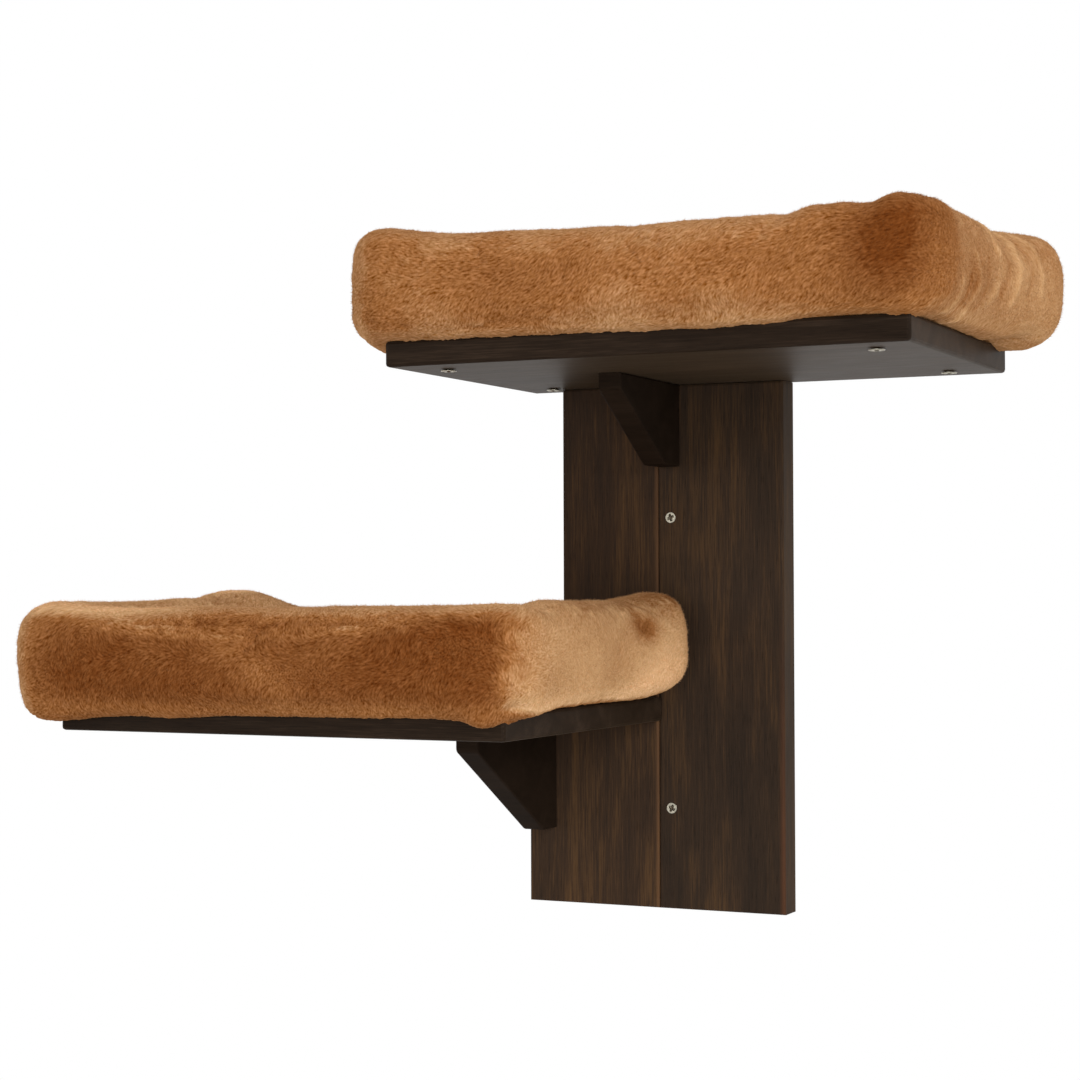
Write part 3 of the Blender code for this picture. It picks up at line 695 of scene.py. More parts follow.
def settle(name: str, points: Array, faces: list[Array], held: Array, pressure: float, cap: float) -> Array:
    """Blow a closed cloth form up from inside and let it settle.

    Args:
        name: Name of the trial piece.
        points: Its vertices in millimetres, slightly inside the form that it should fill.
        faces: Its faces.
        held: Share from 0 to 1 by which each vertex is held in place.
        pressure: Cloth pressure.
        cap: How far a point may move, in millimetres.

    Returns:
        The settled points in millimetres.
    """
    trial = piece_from(name, points, faces)
    group = trial.vertex_groups.new(name="held")
    for number in np.flatnonzero(held > 0):
        group.add([int(number)], float(held[number]), "REPLACE")
    cloth = trial.modifiers.new("cloth", "CLOTH").settings
    cloth.quality = 5
    cloth.mass = 0.3
    cloth.tension_stiffness = 12
    cloth.compression_stiffness = 12
    cloth.bending_stiffness = 0.6
    cloth.use_pressure = True
    cloth.uniform_pressure_force = pressure
    cloth.vertex_group_mass = "held"
    cloth.effector_weights.gravity = 0
    for number in range(1, SETTLING_FRAMES + 1):
        bpy.context.scene.frame_set(number)
    shown = trial.evaluated_get(bpy.context.evaluated_depsgraph_get())
    found = np.empty(len(points) * 3, np.float32)
    shown.data.vertices.foreach_get("co", found)
    bpy.context.scene.frame_set(1)
    bpy.data.objects.remove(trial, do_unlink=True)
    move = found.reshape(-1, 3) / MM - points
    length = np.linalg.norm(move, axis=1, keepdims=True)
    return points + move * np.minimum(1, cap / np.maximum(length, TINY))


# The pile

@dataclass(frozen=True)
class Spot:
    """A soft spot on a bed: its middle, its reach along each axis in millimetres, and what it changes.

    The change is a strength, or the direction in which a hand has brushed the pile.
    """

    middle: Triple
    reach: Triple
    change: float | Triple

    def share(self, points: Array) -> Array:
        """How much of the spot each point feels: exp of minus the squared distance in reaches."""
        away = (points - np.array(self.middle)) / np.array(self.reach)
        return np.exp(-(away**2).sum(-1))

    def strength(self, points: Array) -> Array:
        """The spot's strength at each point."""
        return self.change * self.share(points)


def spots(*rows: tuple[float, ...]) -> tuple[Spot, ...]:
    """Spots from rows of a middle (3), a reach (3) and a strength (1) or a direction (3)."""
    return tuple(Spot(row[:3], row[3:6], row[6] if len(row) == 7 else row[6:]) for row in rows)


@dataclass(frozen=True)
class Fold:
    """A soft ridge, or a crease where its height is below zero, along a line of points in millimetres; its
    tone paints a highlight on a ridge and shade in a crease.
    """

    width: float
    height: float
    tone: float
    path: tuple[Triple, ...]
    squeeze: Triple = (0.15, 1.0, 1.0)

    def share(self, points: Array) -> Array:
        """How much of the fold each point feels: exp of minus the squared distance in widths.

        The folds lie on sides that face along X, so distance along X counts for little.

        Args:
            points: The grid.

        Returns:
            The share at each point.
        """
        squeeze = np.array(self.squeeze)
        points = points * squeeze
        nearest = np.full(points.shape[:-1], np.inf)
        for start, end in zip(self.path, self.path[1:]):
            first, along = np.array(start) * squeeze, (np.array(end) - np.array(start)) * squeeze
            share = np.clip(((points - first) @ along) / (along @ along), 0, 1)
            nearest = np.minimum(nearest, np.linalg.norm(points - first - share[..., None] * along, axis=-1))
        return np.exp(-((nearest / self.width) ** 2))


@dataclass(frozen=True)
class Facing:
    """A painted change of light or shade where the cover faces a direction by more than a share."""

    towards: Triple
    start: float
    width: float
    strength: float

    def share(self, normal: Array, stray: Array) -> Array:
        """How far each place is turned that way, eased from none to full, with a ragged edge."""
        turned = normal @ unit(np.array(self.towards, float)) + stray
        return self.strength * ease(turned, self.start, self.width)


@dataclass(frozen=True)
class Grown:
    """What the pile gives each point of a grid: heights in millimetres, tone, streak, depth and nap."""

    fine: Array
    height: Array
    tone: Array
    streak: Array
    depth: Array
    nap: Array

    def paint(self, piece: Piece, tone: Array, streak: Array, depth: Array, nap: Array) -> None:
        """Paint a piece with the pile, followed by what its vertices off the grid take.

        Args:
            piece: The piece.
            tone: Tones of the vertices off the grid.
            streak: Their streaks.
            depth: Their depths.
            nap: Their naps.
        """
        paint(
            piece,
            nap_tone=np.append(self.tone.ravel(), tone),
            pile_streak=np.append(self.streak.ravel(), streak),
            pile_depth=np.append(self.depth.ravel(), depth),
            nap=np.concatenate([self.nap.reshape(-1, 3), nap]),
        )


@dataclass
class Pile:
    """The plush cover of a bed: how it is brushed, toned and creased, with painted light and shade in its
    tone.

    The brush is how much stronger than the default nap a hand's stroke is. The shares say how much streaks,
    clumps, tufts and swells add to the tone, to the ragged edge of a facing and to the mix of hairs.
    """

    seed: int
    default_nap: Triple
    ground: float = 0.5
    nap: tuple[Spot, ...] = ()
    # Tone spots and facings paint light and shade into the tone, beside the pile's own brushed tone.
    tones: tuple[Spot, ...] = ()
    facings: tuple[Facing, ...] = ()
    swells: tuple[Spot, ...] = ()
    folds: tuple[Fold, ...] = ()
    calm: tuple[Spot, ...] = ()
    wander: float = 0.22
    streak_mm: float = 0.14
    clump_mm: float = 0.10
    tuft_mm: float = 0.14
    swell_mm: float = 0.40
    stray_cell: float = 26.0
    clump_cell: float = 2.4
    tuft_cell: float = 7.0
    swell_cell: float = 34.0
    broad_cell: float = 60.0
    tone_shares: tuple[float, ...] = (0.01, 0.014, 0.03, 0.03)
    ragged_shares: tuple[float, float] = (0.018, 0.015)
    mix_shares: tuple[float, float] = (0.12, 0.07)
    brush: float = 4.0
    least_lie: float = 0.55
    least_cell: float = 0.2
    least_depth: float = 0.2
    standing_depth: float = 0.6
    brightest: float = 1.25

    def direction(self, points: Array) -> Array:
        """The way the pile leans, before it is laid on the surface.

        Args:
            points: The grid.

        Returns:
            The default nap, turned towards each brushing where that is near.
        """
        total = np.broadcast_to(unit(np.array(self.default_nap, float)), points.shape).copy()
        for brushing in self.nap:
            total += brushing.share(points)[..., None] * self.brush * unit(np.array(brushing.change, float))
        return unit(total)

    def grow(self, points: Array, wrap: bool) -> Grown:
        """Raise the pile on a smooth grid.

        Short streaks are random numbers dragged along the nap, clumps are the same from a coarser lattice,
        and the height is a weighted sum of both with small tufts and broad soft swells. Where the pile stands
        up instead of lying over, its share along the surface is short and so are the streaks.

        Args:
            points: The smooth surface in millimetres.
            wrap: Whether its rows and columns close on themselves.

        Returns:
            The pile at each point.
        """
        random = np.random.default_rng(self.seed)
        down, around = slopes(points, wrap)
        cell_rows, cell_columns = np.linalg.norm(down, axis=-1), np.linalg.norm(around, axis=-1)
        down, around = unit(down), unit(around)
        shape = points.shape[:2]
        size = (cell_rows.mean(1).sum(), cell_columns.mean(0).sum())

        def lattice(width: float) -> Array:
            """Smooth noise with cells of a width in millimetres."""
            cells = (max(int(size[0] / width), 4), max(int(size[1] / width), 4))
            return soft_noise(random, shape, cells, wrap)

        stray = np.stack([lattice(self.stray_cell) for _ in range(3)], -1)
        nap = self.direction(points) + self.wander * stray
        on_rows, on_columns = (nap * down).sum(-1), (nap * around).sum(-1)
        shorten = 1 / np.maximum(np.hypot(on_rows, on_columns), self.least_lie)
        on_rows, on_columns = on_rows * shorten, on_columns * shorten
        step_rows = on_rows / np.maximum(cell_rows, self.least_cell)
        step_columns = on_columns / np.maximum(cell_columns, self.least_cell)
        laid = on_rows[..., None] * down + on_columns[..., None] * around
        streak = combed(random.standard_normal(shape), step_rows, step_columns, 1, wrap)
        clump = combed(lattice(self.clump_cell), step_rows, step_columns, 2, wrap)
        tuft, swell, broad = (lattice(cell) for cell in (self.tuft_cell, self.swell_cell, self.broad_cell))
        fine = self.streak_mm * streak + self.clump_mm * clump + self.tuft_mm * tuft
        normal = unit(np.cross(down, around))
        height = self.swell_mm * swell
        tone = self.ground
        for share, layer in zip(self.tone_shares, (clump, tuft, swell, broad)):
            tone = tone + share * layer
        depth = self.standing_depth + (1 - self.standing_depth) * np.hypot(on_rows, on_columns)
        # Tone spots: the pile's own tone, with painted light on rims and ends and painted shade where rims
        # and folds meet.
        for spot in self.tones:
            tone = tone + spot.strength(points)
        ragged = self.ragged_shares[0] * tuft + self.ragged_shares[1] * clump
        # Facings paint light and shade: sides, tops and undersides lighter or darker by the way they face.
        for facing in self.facings:
            tone = tone + facing.share(normal, ragged)
        for spot in self.swells:
            height = height + spot.strength(points)
        # A fold's tone paints a highlight on its ridge and shade in its crease.
        for fold in self.folds:
            share = fold.share(points)
            height = height + fold.height * share
            tone = tone + fold.tone * share
        for spot in self.calm:
            depth = depth - spot.strength(points)
        mixed = np.clip(0.5 + self.mix_shares[0] * streak + self.mix_shares[1] * clump, 0, 1)
        tone = np.clip(tone, 0, self.brightest)
        return Grown(fine * depth, height, tone, mixed, np.clip(depth, self.least_depth, 1), laid)


@dataclass(frozen=True)
class Hairs:
    """Loose hairs: four points each, the faces between them, their places on the grid and their roots."""

    points: Array
    faces: Array
    places: Array
    roots: Array


@dataclass(frozen=True)
class Fuzz:
    """Loose hairs that stand out of a cover and soften its outline."""

    seed: int
    count: int = 70_000
    longest_mm: float = 2.5
    shortest: float = 0.4
    width_mm: float = 0.30
    sunk_mm: float = 0.35
    lie: float = 0.75
    stand: float = 0.6
    stray: float = 0.3

    def grow(self, points: Array, nap: Array, chance: Array) -> Hairs:
        """Set the hairs on a closed grid.

        Each is a closed spike of four faces: three corners on a small circle round its root, sunk a little
        below the cover, and a tip at its length along a mix of the nap, the normal and a random direction.

        Args:
            points: The cover's grid in millimetres.
            nap: The way the pile lies at each point.
            chance: How likely a hair is at each point.

        Returns:
            The hairs.
        """
        random = np.random.default_rng(self.seed)
        count = self.count
        picked = random.choice(chance.size, count, p=chance.ravel() / chance.sum())
        row, column = np.divmod(picked, chance.shape[1])
        down, around = (slope[row, column] for slope in slopes(points, True))
        spot = random.random((2, count, 1))
        start = points[row, column]
        root = start + spot[0] * down + spot[1] * around
        normal = unit(np.cross(down, around))
        astray = self.stray * random.standard_normal((count, 3))
        lean = unit(self.lie * nap[row, column] + self.stand * normal + astray)
        side = unit(np.cross(lean, normal))
        other = np.cross(lean, side)
        turn = np.arange(3) * FULL_TURN / 3
        circle = np.cos(turn)[:, None] * side[:, None] + np.sin(turn)[:, None] * other[:, None]
        base = (root - self.sunk_mm * normal)[:, None] + self.width_mm / 2 * circle
        length = self.longest_mm * (self.shortest + (1 - self.shortest) * random.random((count, 1)))
        spikes = np.concatenate([base, (root + length * lean)[:, None]], 1)
        faces = 4 * np.arange(count)[:, None, None] + np.array([[0, 1, 3], [1, 2, 3], [2, 0, 3], [0, 2, 1]])
        away = spikes - start[:, None]
        rows, columns = (
            first[:, None] + (away * slope[:, None]).sum(-1) / (slope**2).sum(-1)[:, None]
            for first, slope in ((row, down), (column, around))
        )
        return Hairs(spikes, faces.reshape(-1, 3), np.stack([rows, columns], -1), picked)


# The beds

@dataclass(frozen=True)
class RingShares:
    """Shares of a height or a droop halfway along each side and in each corner of a bed."""

    front: float
    right: float
    rear: float
    left: float
    front_left: float
    front_right: float
    rear_right: float
    rear_left: float

    def read(self, along: Array, across: Array, corner: Array) -> Array:
        """Blend the shares round the ring.

        Between corners it is the mean of the side's and the end's share, weighted by the fourth powers of
        the place along and across the bed. In a corner it is the corner's own share.

        Args:
            along: Place along the bed, from -1 to 1.
            across: Place across it, from -1 to 1.
            corner: How far the point is into a corner, from 0 to 1.

        Returns:
            The share at each point.
        """
        side = np.where(along > 0, self.right, self.left)
        end = np.where(across > 0, self.rear, self.front)
        side_pull, end_pull = along**4, across**4
        straight = (side * side_pull + end * end_pull) / (side_pull + end_pull)
        rear = np.where(along > 0, self.rear_right, self.rear_left)
        fore = np.where(along > 0, self.front_right, self.front_left)
        return straight + (np.where(across > 0, rear, fore) - straight) * corner


@dataclass
class Bolster:
    """The stuffed ring of a bed: a rounded section carried round a rounded rectangle.

    The section is a superellipse. Its height and its droop follow the shares of the bed. The overhangs are
    those to the left, to the right and to the front. The girth sets how many rows the section has, and the
    corner cut is how many radii a rounded rectangle is shorter round than a square one. The last two fields
    say how much lighter each corner of a hair is than its root, and its streak.
    """

    node: str
    board: str
    overhang: Triple
    bulge: float
    droop: float
    heights: RingShares
    droops: RingShares
    pile: Pile
    wall_y: float
    crest_mm: float = 8.0
    pile_mm: float = 4.2
    width: float = 60.0
    height: float = 80.0
    outer_corner: float = 42.0
    inner_corner: float = 14.0
    side_pull: float = 3.0
    corner_starts: tuple[float, float] = (0.45, 0.30)
    corner_cut: float = 1.7
    wall_gap: float = 1.5
    wall_rub: float = 0.4
    hair_gap: float = 5.0
    seat_gap: float = 0.3
    slack: float = 2.0
    power: float = 0.625
    girth: float = 215.0
    cell_mm: float = 1.1
    finest: float = 0.45
    trial_grid: tuple[int, int] = (40, 240)
    # The lighter hair tips are partly the hairs' own and partly a painted highlight along the fuzzy outline.
    hair_tones: tuple[float, ...] = (0.0, 0.0, 0.0, 0.22)
    hair_streaks: tuple[float, ...] = (0.5, 0.5, 0.5, 1.0)

    def __post_init__(self) -> None:
        """Read the board's corners and work out the block of space that the ring fills."""
        self.board_low, self.board_high = (np.array(corner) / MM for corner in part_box(self.board))
        left, right, front = self.overhang
        self.low = self.board_low[:2] - (left, front)
        self.high = self.board_high[:2] + (right, -self.wall_gap)
        self.middle, self.half = (self.low + self.high) / 2, (self.high - self.low) / 2
        self.base = self.board_high[2] + self.seat_gap

    def plan(self, inset: Array, radius: Array, share: Array) -> tuple[Array, Array]:
        """Walk round the rounded rectangle.

        The walk has four arcs and four straight sides. Each takes the share of the way round that it has on
        the outermost outline, so that points on all outlines face the same way.

        Args:
            inset: How far inside the outermost outline, one row for each outline.
            radius: Corner radius of each outline.
            share: Places round the outline, from 0 to 1.

        Returns:
            The points and the outward directions, as rows by places by two.
        """
        span = self.high - self.low - 2 * self.outer_corner
        arc = self.outer_corner * QUARTER_TURN
        lengths = np.array([arc, span[1], arc, span[0]] * 2)
        knots = np.concatenate([[0], np.cumsum(lengths)]) / lengths.sum()
        stretch = np.clip(np.searchsorted(knots, share, side="right") - 1, 0, 7)
        local = (share - knots[stretch]) / (knots[stretch + 1] - knots[stretch])
        corner = stretch // 2
        on_arc = stretch % 2 == 0
        angle = (corner - 1) * QUARTER_TURN + np.where(on_arc, local, 1) * QUARTER_TURN
        outward = np.stack([np.cos(angle), np.sin(angle)], -1)
        signs = np.array([[1, -1], [1, 1], [-1, 1], [-1, -1]])
        half = self.half - (inset + radius)[:, None]
        here = self.middle + signs[corner] * half[:, None]
        after = self.middle + signs[(corner + 1) % 4] * half[:, None]
        moved = here + (after - here) * np.where(on_arc, 0, local)[:, None]
        return moved + outward * radius[:, None, None], outward

    def section_angles(self, count: int, even: bool) -> Array:
        """Angles of the section's rows.

        Args:
            count: How many rows.
            even: Evenly spaced, instead of closer together where the bed is seen.

        Returns:
            The angles, from the inner side upwards.
        """
        fine = np.linspace(0, FULL_TURN, 2881)
        across, up = rounded(fine, self.power)
        step = np.hypot(np.diff(across * self.width / 2), np.diff(up * self.height / 2))
        middle = (fine[1:] + fine[:-1]) / 2
        seen = ease(-np.cos(middle), -0.45, 0.5) * ease(np.sin(middle), -1.15, 0.4)
        step = step * (1 if even else self.finest + (1 - self.finest) * seen)
        walked = np.concatenate([[0], np.cumsum(step)]) / step.sum()
        return np.interp(np.arange(count) / count, walked, fine)

    def form(self, angles: Array, share: Array) -> Array:
        """The stuffed ring: the section between its bottom and its top, pulled in on its sides.

        Args:
            angles: Angles of the section's rows.
            share: Places round the ring, from 0 to 1.

        Returns:
            The grid in millimetres.
        """
        across, up = rounded(angles, self.power)
        inset_share = (1 + across) / 2
        radius = self.outer_corner + (self.inner_corner - self.outer_corner) * inset_share
        plan, outward = self.plan(self.width * inset_share, radius, share)
        along, beside = np.moveaxis((plan - self.middle) / self.half, -1, 0)
        first, second = (
            ease(np.abs(place), start, 1 - start) for place, start in zip((along, beside), self.corner_starts)
        )
        corner = first * second
        top = self.base + self.height * self.heights.read(along, beside, corner)
        bottom = self.base - self.droop * self.droops.read(along, beside, corner)
        level = (top + bottom) / 2 + (top - bottom) / 2 * up[:, None]
        pulled = outward * (self.side_pull * (1 - corner))[..., None]
        pushed = np.zeros_like(plan)
        pushed[..., 0] = self.bulge * ease(along) * ease(beside)
        moved = plan + (pushed - pulled) * np.maximum(-across, 0)[:, None, None]
        return np.concatenate([moved, level[..., None]], -1)

    def clear(self, points: Array) -> Array:
        """Move points out of the board that the ring rests on and away from the wall.

        A point inside the board's block goes up to its top face or out past its nearest side, whichever is
        nearer.

        Args:
            points: The grid in millimetres.

        Returns:
            The grid, clear of the board and the wall.
        """
        moved = points.copy()
        low, high = self.board_low - self.seat_gap, self.board_high + self.seat_gap
        inside = ((moved > low) & (moved < high)).all(-1)
        up = high[2] - moved[..., 2]
        sides = [
            (moved[..., 0] - low[0], 0, low[0]),
            (high[0] - moved[..., 0], 0, high[0]),
            (moved[..., 1] - low[1], 1, low[1]),
        ]
        least = np.minimum.reduce([up] + [gap for gap, _, _ in sides])
        for gap, axis, edge in sides:
            chosen = inside & (gap <= least) & (gap < up)
            moved[..., axis] = np.where(chosen, edge, moved[..., axis])
        moved[..., 2] = np.where(inside & (up <= least), high[2], moved[..., 2])
        moved[..., 1] = np.minimum(moved[..., 1], self.wall_y - self.wall_rub)
        return moved

    def cover(self, angles: Array) -> Array:
        """Thickness of the pile at the section's angles: more on the crest, none under the belly."""
        crest, belly = ease(np.sin(angles), 0.2, 0.6), ease(-np.sin(angles), 0.1, 0.88)
        return self.pile_mm + (self.crest_mm - self.pile_mm) * crest - self.pile_mm * belly

    def stuffed(self) -> tuple[Array, Array]:
        """Fill a coarse ring with stuffing.

        Returns:
            How far the settled cloth stands from the plain form, as a grid, and the section angles.
        """
        rows, columns = self.trial_grid
        angles = self.section_angles(rows, even=True)
        plain = self.form(angles, np.arange(columns) / columns)
        outward = normals(plain, True)
        start = (plain - self.slack * outward).reshape(-1, 3)
        resting = ease(-plain[..., 2], -(self.base + 3), 4) * ease(-np.sin(angles))[:, None]
        faces = [quads(numbered(rows, columns), True, True)]
        settled = settle(f"{self.node}_trial", start, faces, resting.ravel(), pressure=4.0, cap=5.0)
        shift = settled.reshape(plain.shape) - plain
        rise = (shift * outward).sum(-1)
        crest, outside = rise[[rows // 4, rows // 2]].mean(1)
        LOG.info("%s settled by %.1f mm on its crest, %.1f mm outside", self.node, crest, outside)
        return shift, angles

    def build(self, finish: Material) -> Piece:
        """Make the ring with its pile and its loose hairs.

        Args:
            finish: The plush.

        Returns:
            The finished piece, riding on the shelf.
        """
        cell = self.cell_mm * 1
        way_round = 4 * self.half.sum() - self.corner_cut * self.outer_corner
        columns = int(way_round / cell) // 3 * 3
        rows = int(self.girth / cell)
        angles = self.section_angles(rows, even=False)
        share = np.arange(columns) / columns
        points = self.form(angles, share)
        shift, coarse = self.stuffed()
        knots = np.concatenate([coarse - FULL_TURN, coarse, coarse + FULL_TURN])
        numbers = np.arange(-len(coarse), 2 * len(coarse))
        shift = resampled(shift, np.interp(angles, knots, numbers), 0, True)
        points = points + resampled(shift, share * shift.shape[1], 1, True)
        grown = self.pile.grow(points, True)
        across, up = np.cos(angles)[:, None], np.sin(angles)[:, None]
        # The pile is rougher under the belly and thin on the inner side
        rough = 1 + 0.3 * ease(-up, 0.2, 0.5)
        kept = 1 - 0.7 * ease(across, 0.1, 0.8)
        lift = (self.cover(angles)[:, None] + grown.height + grown.fine * rough) * kept
        points = self.clear(points + normals(points, True) * lift[..., None])
        # Hairs grow on the outer side and the crest, and hardly any elsewhere
        shown = ease(up, -0.62, 0.1) * (1 - ease(across, 0.5, 0.3))
        chance = (shown + 0.02) * (points[..., 1] < self.wall_y - self.hair_gap) * (up > -0.6)
        hairs = Fuzz(self.pile.seed + 5).grow(points, grown.nap, chance)
        index = numbered(rows, columns)
        everything = np.concatenate([points.reshape(-1, 3), self.clear(hairs.points).reshape(-1, 3)])
        faces = [quads(index, True, True), index.size + hairs.faces]
        piece = piece_from(f"{self.node}_plush", everything, faces)
        tone, depth, nap = (
            np.repeat(layer.reshape(index.size, -1)[hairs.roots], 4, axis=0)
            for layer in (grown.tone, grown.depth, grown.nap)
        )
        # Hair tips lighter: partly a painted highlight along the fuzzy outline.
        lighter, ends = (np.tile(spike, len(hairs.roots)) for spike in (self.hair_tones, self.hair_streaks))
        grown.paint(piece, tone[:, 0] + lighter, ends, depth[:, 0], nap)
        self.lay_out(piece, index, hairs)
        return hand_over(piece, finish, self.node)

    def lay_out(self, piece: Piece, index: Array, hairs: Hairs) -> None:
        """Lay the ring's cover flat as three strips, one above the other, so that a texture can hold it.

        A face belongs to the strip of its first corner or of its root: its place along the strip is its
        column's share of the strip, and its place across is its row's share. A hair lies on its own shadow.

        Args:
            piece: The ring.
            index: Vertex numbers of its grid.
            hairs: Its hairs.
        """
        rows, columns = index.shape
        third = columns // 3

        def flat(row: Array, column: Array, strip: Array) -> Array:
            """Where a place on the grid comes to lie on the texture.

            Args:
                row: Its row.
                column: Its column.
                strip: The strip that it belongs to.

            Returns:
                The place on the texture, from 0 to 1 each way.
            """
            along = np.clip((column - strip * third) / third, 0, 1)
            across = (strip + 0.01 + 0.98 * np.clip(row / rows, 0, 1)) / 3
            return np.stack([0.002 + 0.996 * along, across], -1)

        row, column = np.divmod(index, columns)
        cover = [flat(row + down, column + right, column // third) for down, right in CELL_CORNERS]
        strips = np.repeat(hairs.roots % columns // third, 4).reshape(-1, 4)
        spikes = flat(hairs.places[..., 0], hairs.places[..., 1], strips).reshape(-1, 2)
        lay_flat(piece, np.stack(cover, 2), spikes[hairs.faces.ravel()])


@dataclass
class FloorPad:
    """The crowned floor cushion inside a ring.

    Each point of a square grid is put on a rounded rectangle whose half sizes shrink towards the middle.
    """

    node: str
    ring: Bolster
    pile: Pile
    thickness: float = 22.0
    crown: float = 8.0
    clearance: float = 1.0
    bottom_round: float = 6.0
    top_round: float = 10.0
    corner: float = 14.0
    edge_mm: float = 24.0
    panel_mm: float = 12.0
    cell_mm: float = 1.5
    trial_cell_mm: float = 6.0
    pile_mm: float = 1.5
    bare_mm: float = 12.0
    fade_mm: float = 8.0

    def edge_profile(self, share: Array) -> tuple[Array, Array]:
        """Walk down the rounded edge: a quarter circle, a straight side and a smaller quarter circle.

        Args:
            share: Place along the edge, from its top face (0) to its underside (1).

        Returns:
            Inset and height.
        """
        top_arc = self.top_round * QUARTER_TURN
        side = self.thickness - self.top_round - self.bottom_round
        low_arc = self.bottom_round * QUARTER_TURN
        walked = share * (top_arc + side + low_arc)
        first = np.clip(walked / top_arc, 0, 1) * QUARTER_TURN
        last = np.clip((walked - top_arc - side) / low_arc, 0, 1) * QUARTER_TURN
        inset = self.top_round * (1 - np.sin(first)) + self.bottom_round * (1 - np.cos(last))
        below = self.top_round * (1 - np.cos(first)) + np.clip(walked - top_arc, 0, side)
        return inset, self.thickness - below - self.bottom_round * np.sin(last)

    def axis_levels(self, half: float, edge_rows: int, cell: float) -> Array:
        """Levels from -2 to 2 along one axis: up to 1 on the crown, from 1 to 2 round the edge.

        Args:
            half: Half the pad's size along the axis.
            edge_rows: Rows round the edge.
            cell: Size of a cell.

        Returns:
            The levels.
        """
        crown = max(int((half - self.top_round) / cell), 4)
        rising = np.concatenate([np.arange(crown) / crown, 1 + np.arange(edge_rows + 1) / edge_rows])
        return np.concatenate([-rising[:0:-1], rising])

    def form(self, cell: float) -> Array:
        """The pad's top and edge as a grid in millimetres.

        Args:
            cell: Size of a cell.

        Returns:
            The grid of points; its rim is the pad's underside.
        """
        inset_all = self.ring.width + self.clearance
        middle, half = self.ring.middle, self.ring.half - inset_all
        edge_rows = max(int(self.edge_mm / cell), 6)
        levels = [self.axis_levels(size, edge_rows, cell) for size in half]
        places = np.meshgrid(*levels, indexing="ij")
        level = np.maximum(np.abs(places[0]), np.abs(places[1]))
        crown = np.minimum(level, 1)
        inset, fall = self.edge_profile(np.clip(level - 1, 0, 1))
        reach = [np.where(level > 1, size - inset, (size - self.top_round) * crown) for size in half]
        corner = self.corner + (min(half) - self.corner) * 0.85 * (1 - crown)
        corner = np.minimum(corner, np.minimum(*reach))
        square = [place / np.maximum(level, TINY) * size for place, size in zip(places, reach)]
        past = [np.abs(spot) - (size - corner) for spot, size in zip(square, reach)]
        bent = (past[0] > 0) & (past[1] > 0)
        length = np.maximum(np.hypot(*past), TINY)
        x, y = (
            start + np.where(bent, np.sign(spot) * (size - corner + over / length * corner), spot)
            for start, spot, size, over in zip(middle, square, reach, past)
        )
        rise = self.thickness + self.crown * np.sin((1 - crown) * QUARTER_TURN)
        seat = self.ring.base + self.panel_mm + self.ring.seat_gap
        return np.stack([x, y, seat + np.where(level > 1, fall, rise)], -1)

    def closed(self, points: Array) -> tuple[Array, list[Array], int]:
        """Close the grid with a fan to a point in the middle of its underside.

        Args:
            points: The grid.

        Returns:
            All the vertices, the faces, and how many triangles the fan has.
        """
        index = numbered(*points.shape[:2])
        rim = np.concatenate([index[:-1, 0], index[-1, :-1], index[:0:-1, -1], index[0, :0:-1]])
        flat = points.reshape(-1, 3)
        faces = [quads(index, False, False), fan(rim[::-1], index.size)]
        return np.concatenate([flat, flat[rim].mean(0, keepdims=True)]), faces, len(rim)

    def build(self, finish: Material) -> Piece:
        """Make the pad with its pile.

        Args:
            finish: The plush.

        Returns:
            The finished piece, riding on the shelf.
        """
        points = self.form(self.cell_mm * (1))
        points = self.plumped(points)
        grown = self.pile.grow(points, False)
        free = ease(points[..., 2] - points[0, 0, 2], self.bare_mm, self.fade_mm)
        lift = (self.pile_mm + grown.height + grown.fine) * free
        points = points + normals(points, False) * lift[..., None]
        everything, faces, rim = self.closed(points)
        piece = piece_from(f"{self.node}_plush", everything, faces)
        grown.paint(piece, 0.4, 0.5, 1.0, [[1.0, 0, 0]])
        self.lay_out(piece, points.shape[:2], rim)
        return hand_over(piece, finish, self.node)

    def plumped(self, points: Array) -> Array:
        """Fill a coarse pad with stuffing and carry its rise over to the fine grid.

        Args:
            points: The fine grid.

        Returns:
            The fine grid, plumped.
        """
        coarse = self.form(self.trial_cell_mm)
        start, faces, _ = self.closed(coarse - (0, 0, 1.0))
        held = np.append(ease(coarse[0, 0, 2] + 5 - coarse[..., 2].ravel(), 0, 4), 1.0)
        settled = settle(f"{self.node}_trial", start, faces, held, pressure=3.0, cap=4.0)
        shift = (settled - start)[:-1].reshape(coarse.shape)
        for axis in (0, 1):
            places = np.linspace(0, coarse.shape[axis] - 1, points.shape[axis])
            shift = resampled(shift, places, axis, False)
        return points + shift

    def lay_out(self, piece: Piece, shape: tuple[int, int], rim: int) -> None:
        """Lay the pad's top out as one sheet and its underside as a thin strip below it.

        Args:
            piece: The pad.
            shape: Rows and columns of its grid.
            rim: Triangles in its underside.
        """
        high, wide = shape[0] - 1, shape[1] - 1
        row, column = np.divmod(numbered(high, wide), wide)
        top = [
            np.stack([0.002 + 0.996 * (row + down) / high, 0.04 + 0.955 * (column + right) / wide], -1)
            for down, right in CELL_CORNERS
        ]
        step = np.arange(rim) / rim
        ends = ((0, 0.005), (1 / rim, 0.005), (0.5 / rim, 0.03))
        strip = [np.stack([0.01 + 0.98 * (step + add), step * 0 + y], -1) for add, y in ends]
        lay_flat(piece, np.stack(top, 2), np.stack(strip, 1))


# Screws

class Head(Enum):
    """The kind of a screw's head."""

    FLUSH = "countersunk, level with the wood"
    DOMED = "low dome that stands on the wood"


